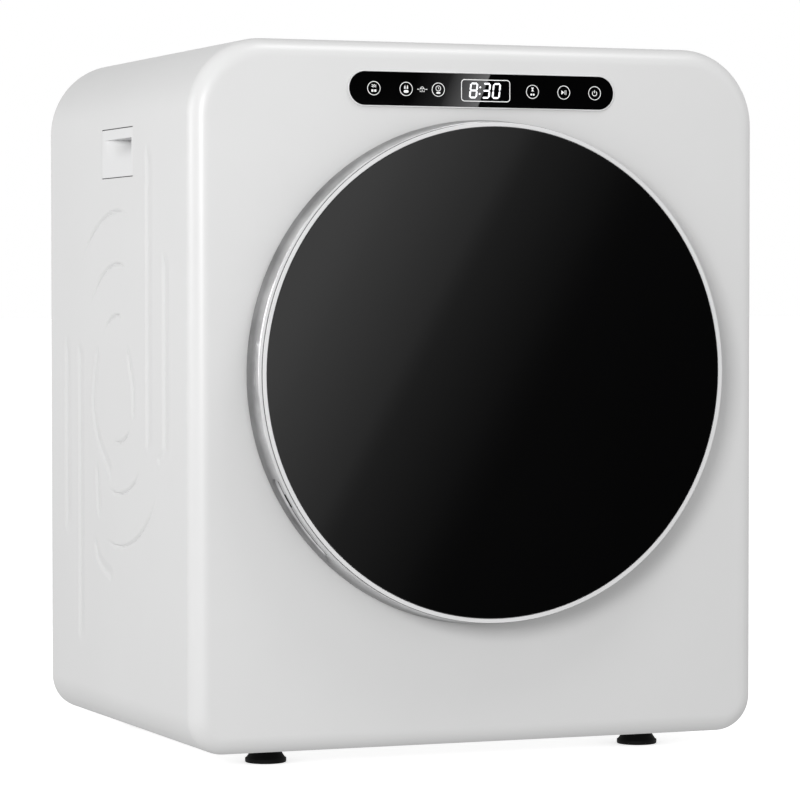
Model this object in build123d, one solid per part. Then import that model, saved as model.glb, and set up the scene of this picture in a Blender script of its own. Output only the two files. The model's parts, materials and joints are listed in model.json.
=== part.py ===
from build123d import *

import os
from math import asin, atan2, cos, degrees, hypot, pi, radians, sin

# Clothes dryer, compact front loader. Millimetres, +Z up, the door faces -Y.
# Shapes are built with the cabinet's front face at y = 0 and its underside at z = 0.
# They are moved on export so the origin is on the floor, under the middle of the whole dryer.

# cabinet
cabinet_width = 600.0
cabinet_height = 686.0
cabinet_depth = 469.0
top_corner_radius = 76.0
bottom_corner_radius = 36.0
front_edge_radius = 18.0
rear_edge_radius = 7.0
front_panel_depth = 20.0
skin = 0.8
foot_height = 16.0
foot_radius = 20.25
foot_side_inset = 99.0
foot_front_inset = 69.0
foot_travel = 10.0

# door
door_side_margin = 56.3
door_out = 38.7
door_gap = 3.0
door_rim = 5.3
glass_thickness = 4.0
bezel_depth = 9.5
side_ring_wall = 2.5
side_ring_flare = 2.5
liner_wall = 2.0
core_web = 5.0
core_wall = 3.0
core_fit = 0.2
core_well_share = 0.62
liner_reach = 18.0
throat_radius = 185.0
throat_wall = 2.0
hinge_inset = 9.7
hinge_axis_out = 20.0
hinge_half_height = 30.0
hinge_pocket_margin = 9.0
hinge_pin_radius = 3.0
hinge_ear_radius = 5.0
grip_start_deg = 204.0
grip_end_deg = 229.0
grip_depth = 9.7

# controls
panel_length = 283.0
panel_height = 35.2
panel_drop = 46.5
panel_rim = 1.3
panel_proud = 1.6

# side grips
side_grip_front = 180.0
side_grip_length = 100.0
side_grip_height = 50.0
side_grip_drop = 128.0
side_grip_depth = 22.0

# drum
drum_side_gap = 19.0
drum_wall = 0.8
drum_front = 48.0
drum_lip_radius = 261.8
drum_shaft_radius = 10.0
lifter_height = 45.0
lifter_width = 60.0
seal_gap = 0.3
running_gap = 0.05
bulkhead_front = 40.0
rear_space = 45.0
spider_depth = 8.0

# air path
filter_width = 132.0
filter_height = 85.0
filter_thickness = 8.0
filter_travel = 75.0
duct_wall = 2.0
blower_radius = 66.0
blower_depth = 56.0
blower_wheel_radius = 55.0
inlet_radius = 40.0
exhaust_pipe_radius = 33.0
exhaust_pipe_lift = 8.0
collar_radius = 50.0
collar_z = 70.0
collar_out = 40.0

# drive
motor_side_inset = 95.0
motor_over_pipe = 6.0
motor_radius = 46.0
motor_length = 96.0
motor_shaft_radius = 6.0
pulley_radius = 11.0
idler_radius = 14.0
idler_offset_x = 45.0
idler_offset_z = 18.0
belt_width = 8.0
belt_thickness = 2.4

# derived
half_width = cabinet_width / 2
centre_z = 0.53149 * cabinet_height
panel_z = cabinet_height - panel_drop
panel_bottom = panel_z - panel_height / 2
door_radius = min(half_width - door_side_margin, panel_bottom - centre_z - 13.0, centre_z - 90.0)
glass_radius = door_radius - door_rim
door_scale = door_radius / 243.7
throat = throat_radius * door_scale
liner_radius = throat - 20.0
hook_x = max(door_radius - 21.7, throat + 37.0)
switch_z = centre_z - 60.0
hinge_x = door_radius - hinge_inset
hinge_y = -hinge_axis_out
door_back = -door_gap
bezel_back = -door_out + bezel_depth
exhaust_pipe_z = exhaust_pipe_lift + exhaust_pipe_radius
pipe_top = exhaust_pipe_z + exhaust_pipe_radius
motor_x = half_width - motor_side_inset
motor_z = max(pipe_top + motor_over_pipe, blower_radius + 14.0)
motor_reach = hypot(motor_x, centre_z - motor_z)
side_room = half_width - drum_side_gap
floor_room = centre_z - pipe_top - 9.6
roof_room = cabinet_height - centre_z - 40.0
drum_radius = min(side_room, floor_room, roof_room, motor_reach - blower_radius - 3.7)
lip_radius = drum_lip_radius * drum_radius / 281.0
bulkhead_rear = cabinet_depth - rear_space
drum_rear = bulkhead_rear - spider_depth - 4.8
blower_front = bulkhead_front + 36.0
motor_front = blower_front + blower_depth + 10.0
motor_rear = motor_front + motor_length
belt_y = motor_rear + 13.0
idler_x = motor_x - idler_offset_x
idler_z = motor_z - idler_offset_z
pivot_x = idler_x - 32.0
pivot_z = idler_z - 22.0
exhaust_x = pivot_x - exhaust_pipe_radius - 10.0
gland_x = -half_width + 70.0
gland_z = 110.0
base_top = skin + 1.2
total_depth = door_out + cabinet_depth + collar_out
shift_y = door_out - total_depth / 2
filter_y = 29.5
filter_bottom = centre_z - throat - filter_height + 10.4

made = []


def save(node, shape):
    moved = Pos(0, shift_y, foot_height) * shape
    export_step(moved, f"parts/{node}.step")
    made.append(node)
    print(node, round(shape.volume), len(shape.solids()))


def prism(sketch, y0, y1):
    plane = Plane(origin=(0, y0, 0), x_dir=(1, 0, 0), z_dir=(0, -1, 0))
    return extrude(plane * sketch, amount=-(y1 - y0))


def spread(places, shape):
    """One sketch holding the same shape at every place."""
    return Sketch() + [place * shape for place in places]


def block(x0, x1, y0, y1, z0, z1):
    middle = Pos((x0 + x1) / 2, (y0 + y1) / 2, (z0 + z1) / 2)
    return middle * Box(x1 - x0, y1 - y0, z1 - z0)


def rod(x, z, radius, y0, y1):
    return prism(Pos(x, z) * Circle(radius), y0, y1)


def tube(x, z, outer, inner, y0, y1):
    return prism(Pos(x, z) * (Circle(outer) - Circle(inner)), y0, y1)


def post(x, y, radius, z0, z1):
    return Pos(x, y, (z0 + z1) / 2) * Cylinder(radius, z1 - z0)


def outline(inset):
    """Front outline of the cabinet, drawn in by a distance."""
    sheet = Rectangle(cabinet_width - 2 * inset, cabinet_height - 2 * inset)
    sheet = fillet(sheet.vertices().group_by(Axis.Y)[-1], top_corner_radius - inset)
    sheet = fillet(sheet.vertices().group_by(Axis.Y)[0], bottom_corner_radius - inset)
    return Pos(0, cabinet_height / 2) * sheet


def stadium(length, height):
    return Pos(0, panel_z) * SlotOverall(length, height)


def ring_holes(count, radius, hole):
    return Pos(0, centre_z) * spread(PolarLocations(radius, count), Circle(hole))


def rear_screw_points():
    x = half_width - 12.0
    low = bottom_corner_radius + 30.0
    high = cabinet_height - top_corner_radius - 30.0
    points = []
    for side in (-1, 1):
        for z in (low, cabinet_height / 2, high):
            points.append((side * x, z))
    return points


def foot_points():
    x = half_width - foot_side_inset
    rear = cabinet_depth - foot_front_inset
    return {
        "foot_front_left": (-x, foot_front_inset),
        "foot_front_right": (x, foot_front_inset),
        "foot_rear_left": (-x, rear),
        "foot_rear_right": (x, rear),
    }


# ---- cabinet skins

def side_grip_centre():
    y = side_grip_front + side_grip_length / 2
    z = cabinet_height - side_grip_drop + side_grip_height / 2
    return y, z


def cabinet_wrap():
    rear = cabinet_depth - skin
    shell = prism(outline(0), front_panel_depth, rear)
    shell = fillet(shell.faces().sort_by(Axis.Y)[-1].edges(), rear_edge_radius)
    inner = prism(outline(skin), front_panel_depth, rear - skin)
    inner = fillet(inner.faces().sort_by(Axis.Y)[-1].edges(), rear_edge_radius - skin)
    shell -= inner
    shell -= prism(outline(18.0), rear - 2 * skin, rear + 1)
    y, z = side_grip_centre()
    shell -= Pos(0, y, z) * Box(cabinet_width + 2, side_grip_length, side_grip_height)
    for x, y in foot_points().values():
        shell -= post(x, y, 5.5, -1, skin + 1)
    for x, z in rear_screw_points():
        shell -= rod(x, z, 2.1, rear - 2, rear + 1)
    return shell


def front_panel():
    shell = prism(outline(0), 0, front_panel_depth)
    shell = fillet(shell.faces().sort_by(Axis.Y)[0].edges(), front_edge_radius)
    inner = prism(outline(skin), skin, front_panel_depth + 1)
    inner = fillet(inner.faces().sort_by(Axis.Y)[0].edges(), front_edge_radius - skin)
    shell -= inner
    shell -= rod(0, centre_z, throat + throat_wall + 0.1, -1, 3)
    shell -= prism(stadium(panel_length - 4, panel_height - 4), -1, 3)
    shell -= block(-hook_x - 9, -hook_x + 9, -1, 3, centre_z - 8, centre_z + 8)
    shell -= rod(-hook_x, switch_z, 3.4, -1, 3)
    return shell


def rear_panel():
    rear = cabinet_depth
    plate = prism(outline(8.0), rear - skin, rear)
    plate -= rod(exhaust_x, collar_z, collar_radius + 0.3, rear - 2, rear + 1)
    plate -= rod(gland_x, gland_z, 9.0, rear - 2, rear + 1)
    slots = Pos(0, 175) * spread(GridLocations(92, 9, 3, 7), SlotOverall(78, 4))
    plate -= prism(slots, rear - 2, rear + 1)
    for x, z in rear_screw_points():
        plate -= rod(x, z, 2.1, rear - 2, rear + 1)
    return plate


def rear_screws():
    group = []
    for x, z in rear_screw_points():
        head = rod(x, z, 4.2, cabinet_depth, cabinet_depth + 2.2)
        head = fillet(head.faces().sort_by(Axis.Y)[-1].edges(), 1.2)
        shank = rod(x, z, 2.0, cabinet_depth - 8, cabinet_depth)
        slot = block(x - 3, x + 3, cabinet_depth + 1.4, cabinet_depth + 3, z - 0.5, z + 0.5)
        group.append(head + shank - slot)
    return Compound(group)


def base_plate():
    half = half_width - bottom_corner_radius - 4
    plate = block(-half, half, bulkhead_front + skin, bulkhead_rear, skin, base_top)
    for x, y in foot_points().values():
        plate += post(x, y, 12, base_top, base_top + 5)
        plate -= post(x, y, 5.4, -1, base_top + 12)
    return plate


def levelling_foot(x, y):
    pad = post(x, y, foot_radius, -foot_height, -foot_height + 5.8)
    pad = fillet(pad.faces().sort_by(Axis.Z)[0].edges(), 1.6)
    top = -0.4
    cone = Pos(x, y, (top - foot_height + 5.8) / 2)
    cone = cone * Cone(foot_radius - 0.6, 15.0, top + foot_height - 5.8)
    stud = post(x, y, 5.0, top, base_top + foot_travel + 0.4)
    return pad + cone + stud


def side_grip(side):
    """Finger scoop let into the cabinet side: deepest under its top edge."""
    y, z = side_grip_centre()
    fit = 0.2
    half_l = side_grip_length / 2 - fit
    half_h = side_grip_height / 2 - fit
    lip = block(-half_width, -half_width + 2.0, y - half_l, y + half_l, z - half_h, z + half_h)
    top = z + half_h - 11.0
    low = z - half_h + 5.0
    back = -half_width + side_grip_depth
    edge = -half_width

    def wedge(grow, half):
        points = [
            (edge + 0.5, top + grow),
            (back + grow, top + grow),
            (back + grow, top - 13.0),
            (edge + side_grip_depth * 0.45 + grow, (top + low) / 2 - 5 - grow),
            (edge + 0.5, low - grow),
        ]
        return prism(make_face(Polyline(*points, close=True)), y - half, y + half)

    cup = lip + wedge(1.6, half_l - 2.4)
    cavity = wedge(0.0, half_l - 4.0)
    mouth = block(edge - 1, edge + 0.6, y - half_l + 4, y + half_l - 4, low, top)
    cup -= cavity
    cup -= mouth
    if side > 0:
        cup = mirror(cup, about=Plane.YZ)
    return cup


# ---- door

def hinge_pocket():
    x0 = hinge_x - 8.0
    z0 = centre_z - hinge_half_height - hinge_pocket_margin
    z1 = centre_z + hinge_half_height + hinge_pocket_margin
    return block(x0, door_radius + 9, -door_out + 4.7, 1.0, z0, z1)


def door_glass():
    disc = rod(0, centre_z, glass_radius - 0.15, -door_out, -door_out + glass_thickness)
    return chamfer(disc.faces().sort_by(Axis.Y)[0].edges(), 0.4)


def door_bezel():
    outer = door_radius - 0.7
    ledge = glass_radius - 13.4
    ring = rod(0, centre_z, outer, -door_out, bezel_back)
    ring = fillet(ring.faces().sort_by(Axis.Y)[0].edges(), 1.6)
    ring -= rod(0, centre_z, glass_radius, -door_out - 1, -door_out + glass_thickness)
    ring -= rod(0, centre_z, ledge, -door_out - 1, bezel_back + 1)
    return ring - hinge_pocket()


def door_core():
    rim = door_radius - side_ring_wall - core_fit
    well = core_well_share * door_radius
    web_back = bezel_back + core_web
    disc = tube(0, centre_z, rim, well, bezel_back, web_back)
    disc += tube(0, centre_z, well + core_wall, well, web_back, door_back - liner_wall)
    return disc - hinge_pocket() - grip_sector(2.0)


def grip_sector(grow):
    """Arc-shaped block of the finger grip in the door's rim, at the lower left."""
    floor = door_radius - grip_depth - grow
    outer = door_radius + 12.0
    start = grip_start_deg - grow * 0.3
    end = grip_end_deg + grow * 0.3
    y0 = bezel_back + 3.4 - grow
    y1 = door_back - 4.0 + grow
    arcs = Pos(0, centre_z) * (Circle(outer) - Circle(floor))
    reach = 2 * outer
    a = (reach * cos(radians(start)), centre_z + reach * sin(radians(start)))
    b = (reach * cos(radians(end)), centre_z + reach * sin(radians(end)))
    fan = make_face(Polyline((0, centre_z), a, b, close=True))
    return prism(arcs & fan, y0, y1)


def door_side_ring():
    y0 = bezel_back + 0.6
    flared = Cone(door_radius, door_radius + side_ring_flare, door_back - y0)
    wall = Pos(0, (y0 + door_back) / 2, centre_z) * Rot(-90, 0, 0) * flared
    wall -= rod(0, centre_z, door_radius - side_ring_wall, y0 - 1, door_back + 1)
    cup = grip_sector(2.0) & rod(0, centre_z, door_radius - 0.4, -door_out, 0)
    ring = wall + cup - grip_sector(0.0)
    ring -= hinge_pocket()
    return ring


def door_liner():
    back = door_back - liner_wall
    plate_radius = door_radius - side_ring_wall - 0.2
    shape = rod(0, centre_z, plate_radius, back, door_back)
    bowl = rod(0, centre_z, liner_radius, door_back, liner_reach)
    bowl = fillet(bowl.faces().sort_by(Axis.Y)[-1].edges(), 14.0)
    shape += bowl
    hollow = rod(0, centre_z, liner_radius - liner_wall, back - 1, liner_reach - liner_wall)
    hollow = fillet(hollow.faces().sort_by(Axis.Y)[-1].edges(), 12.0)
    shape -= hollow
    shape -= hinge_pocket()
    return shape - grip_sector(2.4)


def door_gasket():
    return tube(0, centre_z, throat + 13.0, throat + 5.0, door_back, -0.3)


def door_hook():
    x = -hook_x
    arm = block(x - 2.5, x + 2.5, door_back, 14.0, centre_z - 5, centre_z + 5)
    return arm + block(x, x + 5.5, 10.0, 14.0, centre_z - 5, centre_z + 5)


def hinge_block():
    half = hinge_half_height - 6.4
    knuckle = post(hinge_x, hinge_y, hinge_ear_radius, centre_z - half, centre_z + half)
    arm = block(hinge_x - 36, hinge_x, bezel_back + 5, hinge_y + 5, centre_z - half, centre_z + half)
    bore = post(hinge_x, hinge_y, hinge_pin_radius + running_gap, centre_z - 60, centre_z + 60)
    return knuckle + arm - bore


def hinge_bracket():
    z0 = centre_z - hinge_half_height
    z1 = centre_z + hinge_half_height
    shape = block(hinge_x - 12, hinge_x + 13, -1.4, 0, z0 - 4, z1 + 4)
    for low in (z0, z1 - 6):
        shape += block(hinge_x - 5, hinge_x + 5, hinge_y, -1.0, low, low + 6)
        shape += post(hinge_x, hinge_y, hinge_ear_radius, low, low + 6)
    return shape - post(hinge_x, hinge_y, hinge_pin_radius, z0 - 1, z1 + 1)


def hinge_pin():
    z0 = centre_z - hinge_half_height
    z1 = centre_z + hinge_half_height
    return post(hinge_x, hinge_y, hinge_pin_radius, z0, z1)


def latch_housing():
    x = -hook_x
    box = block(x - 14, x + 14, skin, 28, centre_z - 18, centre_z + 18)
    return box - block(x - 10, x + 10, -1, 24, centre_z - 9, centre_z + 9)


def door_switch():
    x = -hook_x
    z = switch_z
    body = block(x - 9, x + 9, skin, 24, z - 14, z + 14)
    return body - rod(x, z, 3.4, -1, 20)


def switch_plunger():
    tip = rod(-hook_x, switch_z, 3.0, -2.4, 15)
    return fillet(tip.faces().sort_by(Axis.Y)[0].edges(), 1.0)


# ---- controls

def control_bezel():
    front = -panel_proud
    inner_l = panel_length - 2 * panel_rim
    inner_h = panel_height - 2 * panel_rim
    rim = stadium(panel_length, panel_height) - stadium(inner_l, inner_h)
    seat = stadium(panel_length, panel_height) - stadium(panel_length - 13, panel_height - 13)
    plug = stadium(panel_length - 4.4, panel_height - 4.4)
    plug -= stadium(panel_length - 13, panel_height - 13)
    return prism(rim, front, -0.5) + prism(seat, -0.5, 0) + prism(plug, 0, 3)


def control_glass():
    shape = stadium(panel_length - 2 * panel_rim - 0.2, panel_height - 2 * panel_rim - 0.2)
    return prism(shape, -panel_proud + 0.2, -0.5)


def display_board():
    display = block(-22.9, 28.4, -0.4, 6.0, panel_z - 10.4, panel_z + 10.4)
    return display + block(-134, 134, 6.0, 7.6, panel_z - 14, panel_z + 14)


def control_housing():
    half = panel_length / 2 + 5
    box = block(-half, half, skin, 30, panel_z - 24, panel_z + 24)
    return box - block(-half + 2, half - 2, -1, 28, panel_z - 22, panel_z + 22)


def power_module():
    roof = cabinet_height - skin
    box = block(-170, -50, 300, 400, roof - 28, roof)
    return box - block(-168, -52, 302, 398, roof - 26, roof - 2)


# ---- bulkheads and seals

def front_bulkhead():
    front = bulkhead_front
    plate = prism(outline(skin), front, front + skin)
    plate += tube(0, centre_z, lip_radius - 3.8, lip_radius - 4.8, front, front + 16)
    plate -= rod(0, centre_z, throat + throat_wall + 0.1, front - 1, front + 2)
    plate -= rod(motor_x, motor_z, inlet_radius + duct_wall + 1, front - 1, front + 2)
    return plate


def door_throat():
    outer = throat + throat_wall
    ring = tube(0, centre_z, outer, throat, 0, bulkhead_front + 6)
    ring += tube(0, centre_z, outer + 12, outer - 1, skin, skin + 1)
    ring += tube(0, centre_z, outer + 12, outer - 1, bulkhead_front - 1, bulkhead_front)
    half = filter_width / 2 + 0.5
    y0 = filter_y - filter_thickness / 2 - 0.5
    y1 = filter_y + filter_thickness / 2 + 0.5
    ring -= block(-half, half, y0, y1, centre_z - throat - 40, centre_z - throat * 0.8)
    return ring


def front_felt_seal():
    y0 = bulkhead_front + 4
    return tube(0, centre_z, lip_radius - seal_gap, lip_radius - 3.8, y0, y0 + 12)


def rear_bulkhead():
    plate = prism(outline(skin), bulkhead_rear, bulkhead_rear + skin)
    plate -= rod(0, centre_z, 30, bulkhead_rear - 1, bulkhead_rear + 2)
    for ring, count in ((85, 16), (110, 20), (135, 24)):
        plate -= prism(ring_holes(count, ring, 5), bulkhead_rear - 1, bulkhead_rear + 2)
    plate -= rod(exhaust_x, exhaust_pipe_z, exhaust_pipe_radius + 1, bulkhead_rear - 1, bulkhead_rear + 2)
    return plate


def rear_felt_seal():
    return tube(0, centre_z, drum_radius - 3, drum_radius - 19, drum_rear + seal_gap, bulkhead_rear)


def bearing_housing():
    y0 = bulkhead_rear + skin
    cup = tube(0, centre_z, 27, 22, bulkhead_rear - 1, y0 + 22)
    return cup + tube(0, centre_z, 45, 22, y0, y0 + 3)


def drum_bearing():
    y0 = bulkhead_rear + skin
    return tube(0, centre_z, 22, drum_shaft_radius + running_gap, bulkhead_rear, y0 + 20)


# ---- drum

def drum_shell():
    inner = drum_radius - drum_wall
    shell = tube(0, centre_z, drum_radius, inner, drum_front, drum_rear)
    shell += tube(0, centre_z, drum_radius, lip_radius, drum_front, drum_front + drum_wall)
    shell += tube(0, centre_z, lip_radius + 1.2, lip_radius, drum_front, drum_front + 10)
    return shell


def drum_back():
    y1 = drum_rear
    disc = prism(Pos(0, centre_z) * Circle(drum_radius - drum_wall), y1 - 1.2, y1)
    disc -= rod(0, centre_z, drum_shaft_radius, y1 - 3, y1 + 1)
    for ring, count in ((80, 18), (100, 24), (120, 30), (140, 36)):
        disc -= prism(ring_holes(count, ring, 4), y1 - 3, y1 + 1)
    return disc


def drum_spider():
    """Three-armed spider with the drum's shaft pressed through its hub."""
    y0 = drum_rear
    y1 = drum_rear + spider_depth
    reach = drum_radius - drum_wall - 22
    shape = rod(0, centre_z, 29, y0, y1)
    for k in range(3):
        arm = Pos(0, centre_z) * Rot(0, 0, 30 + 120 * k) * Pos(reach / 2, 0) * Rectangle(reach, 26)
        shape += prism(arm, y0, y0 + 5)
    shape += rod(0, centre_z, drum_shaft_radius, drum_rear - 4, bulkhead_rear + 24)
    return shape + rod(0, centre_z, 18, drum_rear - 4.2, drum_rear - 1.2)


def drum_lifters():
    foot = drum_radius - drum_wall
    half = lifter_width / 2
    group = []
    for k in range(3):
        top = foot - lifter_height
        lower = [(foot + 4, -half), (foot - 6, -half), (top, -10)]
        points = lower + [(u, -v) for u, v in reversed(lower)]
        bar = make_face(Polyline(*points, close=True))
        bar = fillet(bar.vertices().group_by(Axis.X)[0], 7)
        inner = [(foot + 9, 5 - half), (top + 4, -7), (top + 4, 7), (foot + 9, half - 5)]
        core = make_face(Polyline(*inner, close=True))
        place = Pos(0, centre_z) * Rot(0, 0, 90 + 120 * k)
        bar = (place * bar) & (Pos(0, centre_z) * Circle(foot))
        shell = prism(bar, drum_front + 42, drum_rear - 30)
        shell -= prism(place * core, drum_front + 45, drum_rear - 33)
        group.append(shell.solids()[0])
    return Compound(group)


# ---- lint filter and air path

def lint_filter_frame():
    half = filter_width / 2
    y0 = filter_y - filter_thickness / 2
    y1 = filter_y + filter_thickness / 2
    top = filter_bottom + filter_height
    frame = block(-half, half, y0, y1, filter_bottom, top)
    frame -= block(-half + 7, half - 7, y0 - 1, y1 + 1, filter_bottom + 7, top - 22)
    frame -= block(-16, 16, y0 - 1, y0 + 3, top - 14, top - 6)
    return frame


def lint_filter_mesh():
    half = filter_width / 2 - 7
    z0 = filter_bottom + 7
    z1 = filter_bottom + filter_height - 22
    sheet = block(-half, half, filter_y - 0.4, filter_y + 0.4, z0, z1)
    holes = Pos(0, (z0 + z1) / 2) * spread(GridLocations(5, 5, 22, 10), Rectangle(3.6, 3.6))
    return sheet - prism(holes, filter_y - 2, filter_y + 2)


def lint_duct():
    y0 = 20.0
    y1 = bulkhead_front - 1
    top = centre_z - throat - throat_wall - 1.6
    half = filter_width / 2 + 4
    right = motor_x + inlet_radius + 5
    wall = duct_wall
    high = motor_z + inlet_radius + 8
    upright = block(-half - wall, half + wall, y0, y1, 22, top)
    across = block(-half - wall, right + wall, y0, y1, 22, high)
    neck = rod(motor_x, motor_z, inlet_radius + wall, y1 - 1, blower_front)
    hollow = block(-half, half, y0 + wall, y1 - wall, 22 + wall, top + 1)
    hollow += block(-half, right, y0 + wall, y1 - wall, 22 + wall, high - wall)
    hollow += rod(motor_x, motor_z, inlet_radius, y1 - 4, blower_front + 1)
    duct = upright + across + neck - hollow
    for side in (-1, 1):
        x = side * (half - 5)
        duct += block(x - 5, x + 5, y0 + 1, y1 - 1, filter_bottom - 4, filter_bottom - 0.4)
    return duct


def blower_housing():
    y0 = blower_front
    y1 = blower_front + blower_depth
    wall = duct_wall
    left = exhaust_x - exhaust_pipe_radius - 8
    low = exhaust_pipe_z - exhaust_pipe_radius
    top = exhaust_pipe_z + exhaust_pipe_radius
    scroll = rod(motor_x, motor_z, blower_radius, y0, y1)
    scroll += block(left, motor_x, y0, y1, low, top)
    hollow = rod(motor_x, motor_z, blower_radius - wall, y0 + wall, y1 - wall)
    hollow += block(left + wall, motor_x, y0 + wall, y1 - wall, low + wall, top - wall)
    scroll -= hollow
    scroll -= rod(motor_x, motor_z, inlet_radius, y0 - 1, y0 + wall + 1)
    scroll -= rod(motor_x, motor_z, motor_shaft_radius + 3, y1 - wall - 1, y1 + 1)
    scroll -= rod(exhaust_x, exhaust_pipe_z, exhaust_pipe_radius - 2, y1 - wall - 1, y1 + 1)
    return scroll


def blower_wheel():
    y0 = blower_front + 8
    y1 = blower_front + blower_depth - 8
    rim = blower_wheel_radius
    wheel = tube(motor_x, motor_z, rim, motor_shaft_radius, y1 - 2, y1)
    wheel += tube(motor_x, motor_z, 13, motor_shaft_radius, y1 - 20, y1)
    wheel += tube(motor_x, motor_z, rim, rim - 4, y0, y0 + 3)
    blades = Pos(motor_x, motor_z) * spread(PolarLocations(rim - 7, 24), Rectangle(12, 1.4))
    return wheel + prism(blades, y0, y1 - 1)


def exhaust_duct():
    wall = 1.6
    y0 = blower_front + blower_depth
    y1 = bulkhead_rear + skin + 1.2
    y2 = cabinet_depth - 7
    low = exhaust_pipe_z - exhaust_pipe_radius - 2
    high = collar_z + collar_radius + 2
    left = exhaust_x - collar_radius - 3
    right = exhaust_x + collar_radius + 3
    shape = rod(exhaust_x, exhaust_pipe_z, exhaust_pipe_radius, y0, y1 + 1)
    shape += block(left, right, y1, y2, low, high)
    shape -= block(left + wall, right - wall, y1 + wall, y2 - wall, low + wall, high - wall)
    shape -= rod(exhaust_x, exhaust_pipe_z, exhaust_pipe_radius - wall, y0 - 1, y1 + wall + 1)
    return shape - rod(exhaust_x, collar_z, collar_radius, y2 - 4, y2 + 1)


def exhaust_collar():
    y0 = cabinet_depth - 8
    y1 = cabinet_depth + collar_out
    pipe = tube(exhaust_x, collar_z, collar_radius, collar_radius - 1.4, y0, y1)
    flange_back = cabinet_depth + 1.4
    flange_radius = collar_radius + 9
    return pipe + tube(exhaust_x, collar_z, flange_radius, collar_radius - 0.5, cabinet_depth, flange_back)


def heater_box():
    y0 = bulkhead_rear + skin
    y1 = y0 + 38
    low = collar_z + collar_radius + 10
    high = centre_z + 175
    shell = block(-165, 165, y0, y1, low, high)
    return shell - block(-164, 164, y0 - 1, y1 - 1, low - 1, high - 1)


def ptc_heater():
    y0 = bulkhead_rear + 5
    low = collar_z + collar_radius + 18
    shape = block(-118, 118, y0, y0 + 28, low, low + 4)
    shape += block(-118, 118, y0, y0 + 28, low + 46, low + 50)
    shape += block(-118, 118, y0 + 11, y0 + 17, low + 22, low + 28)
    fins = Pos(0, low + 25) * spread(GridLocations(9, 1, 27, 1), Rectangle(1.2, 46))
    return shape + prism(fins, y0 + 2, y0 + 26)


def limit_thermostats():
    y = bulkhead_rear + skin + 19
    z = centre_z + 175
    group = []
    for x in (-60, 60):
        cup = post(x, y, 8, z, z + 7) + post(x, y, 5, z + 7, z + 12)
        group.append(cup + block(x - 13, x + 13, y - 4, y + 4, z, z + 1))
    return Compound(group)


# ---- drive

def motor_casing():
    y0 = motor_front
    y1 = motor_rear
    body = rod(motor_x, motor_z, motor_radius, y0, y1)
    body = fillet(body.edges().filter_by(GeomType.CIRCLE), 5)
    body -= rod(motor_x, motor_z, 27, y0 + 14, y1 - 14)
    body -= rod(motor_x, motor_z, motor_shaft_radius + running_gap, y0 - 1, y1 + 1)
    return body


def motor_rotor():
    core = rod(motor_x, motor_z, 26, motor_front + 18, motor_rear - 18)
    shaft = rod(motor_x, motor_z, motor_shaft_radius, blower_front + 26, belt_y + 8)
    return core + shaft


def motor_bracket():
    y0 = motor_front + 6
    y1 = motor_rear - 6
    shape = block(motor_x - 46, motor_x + 46, y0, motor_rear + 3.4, base_top, base_top + 3)
    for y in (y0, y1 - 4):
        shape += block(motor_x - 40, motor_x + 40, y, y + 4, base_top, motor_z - 16)
    shape -= rod(motor_x, motor_z, motor_radius, y0 - 1, motor_rear + 1)
    left = pivot_x - 6
    shape += block(left, motor_x - 30, motor_rear + 0.4, motor_rear + 3.4, base_top, pivot_z + 7)
    shape += rod(pivot_x, pivot_z, 4, motor_rear + 2, belt_y + 22)
    return shape


def motor_pulley():
    y0 = belt_y - belt_width / 2 - 2
    y1 = belt_y + belt_width / 2 + 2
    hub = tube(motor_x, motor_z, pulley_radius, motor_shaft_radius, y0, y1)
    for a, b in ((y0, y0 + 1.4), (y1 - 1.4, y1)):
        hub += tube(motor_x, motor_z, pulley_radius + 3, motor_shaft_radius, a, b)
    return hub


def idler_arm():
    y0 = belt_y + belt_width / 2 + 3
    y1 = y0 + 3
    span = hypot(idler_x - pivot_x, idler_z - pivot_z)
    tilt = degrees(atan2(idler_z - pivot_z, idler_x - pivot_x))
    link = Pos((idler_x + pivot_x) / 2, (idler_z + pivot_z) / 2) * Rot(0, 0, tilt) * Rectangle(span, 10)
    plate = link + Pos(idler_x, idler_z) * Circle(7) + Pos(pivot_x, pivot_z) * Circle(8)
    arm = prism(plate, y0, y1)
    arm -= rod(pivot_x, pivot_z, 4 + running_gap, y0 - 1, y1 + 1)
    return arm + rod(idler_x, idler_z, 4, belt_y - belt_width / 2 - 1, y0)


def idler_pulley():
    half = belt_width / 2 + 1
    wheel = tube(idler_x, idler_z, idler_radius, 4 + running_gap, belt_y - half, belt_y + half)
    return wheel


def idler_spring():
    coil = Helix(pitch=2.2, height=8.8, radius=6.6, center=(0, 0, 0))
    section = Plane(origin=coil @ 0, z_dir=coil % 0) * Circle(0.7)
    wire = sweep(section, path=coil, is_frenet=True)
    return Pos(pivot_x, belt_y + belt_width / 2 + 7.5, pivot_z) * Rot(-90, 0, 0) * wire


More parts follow.
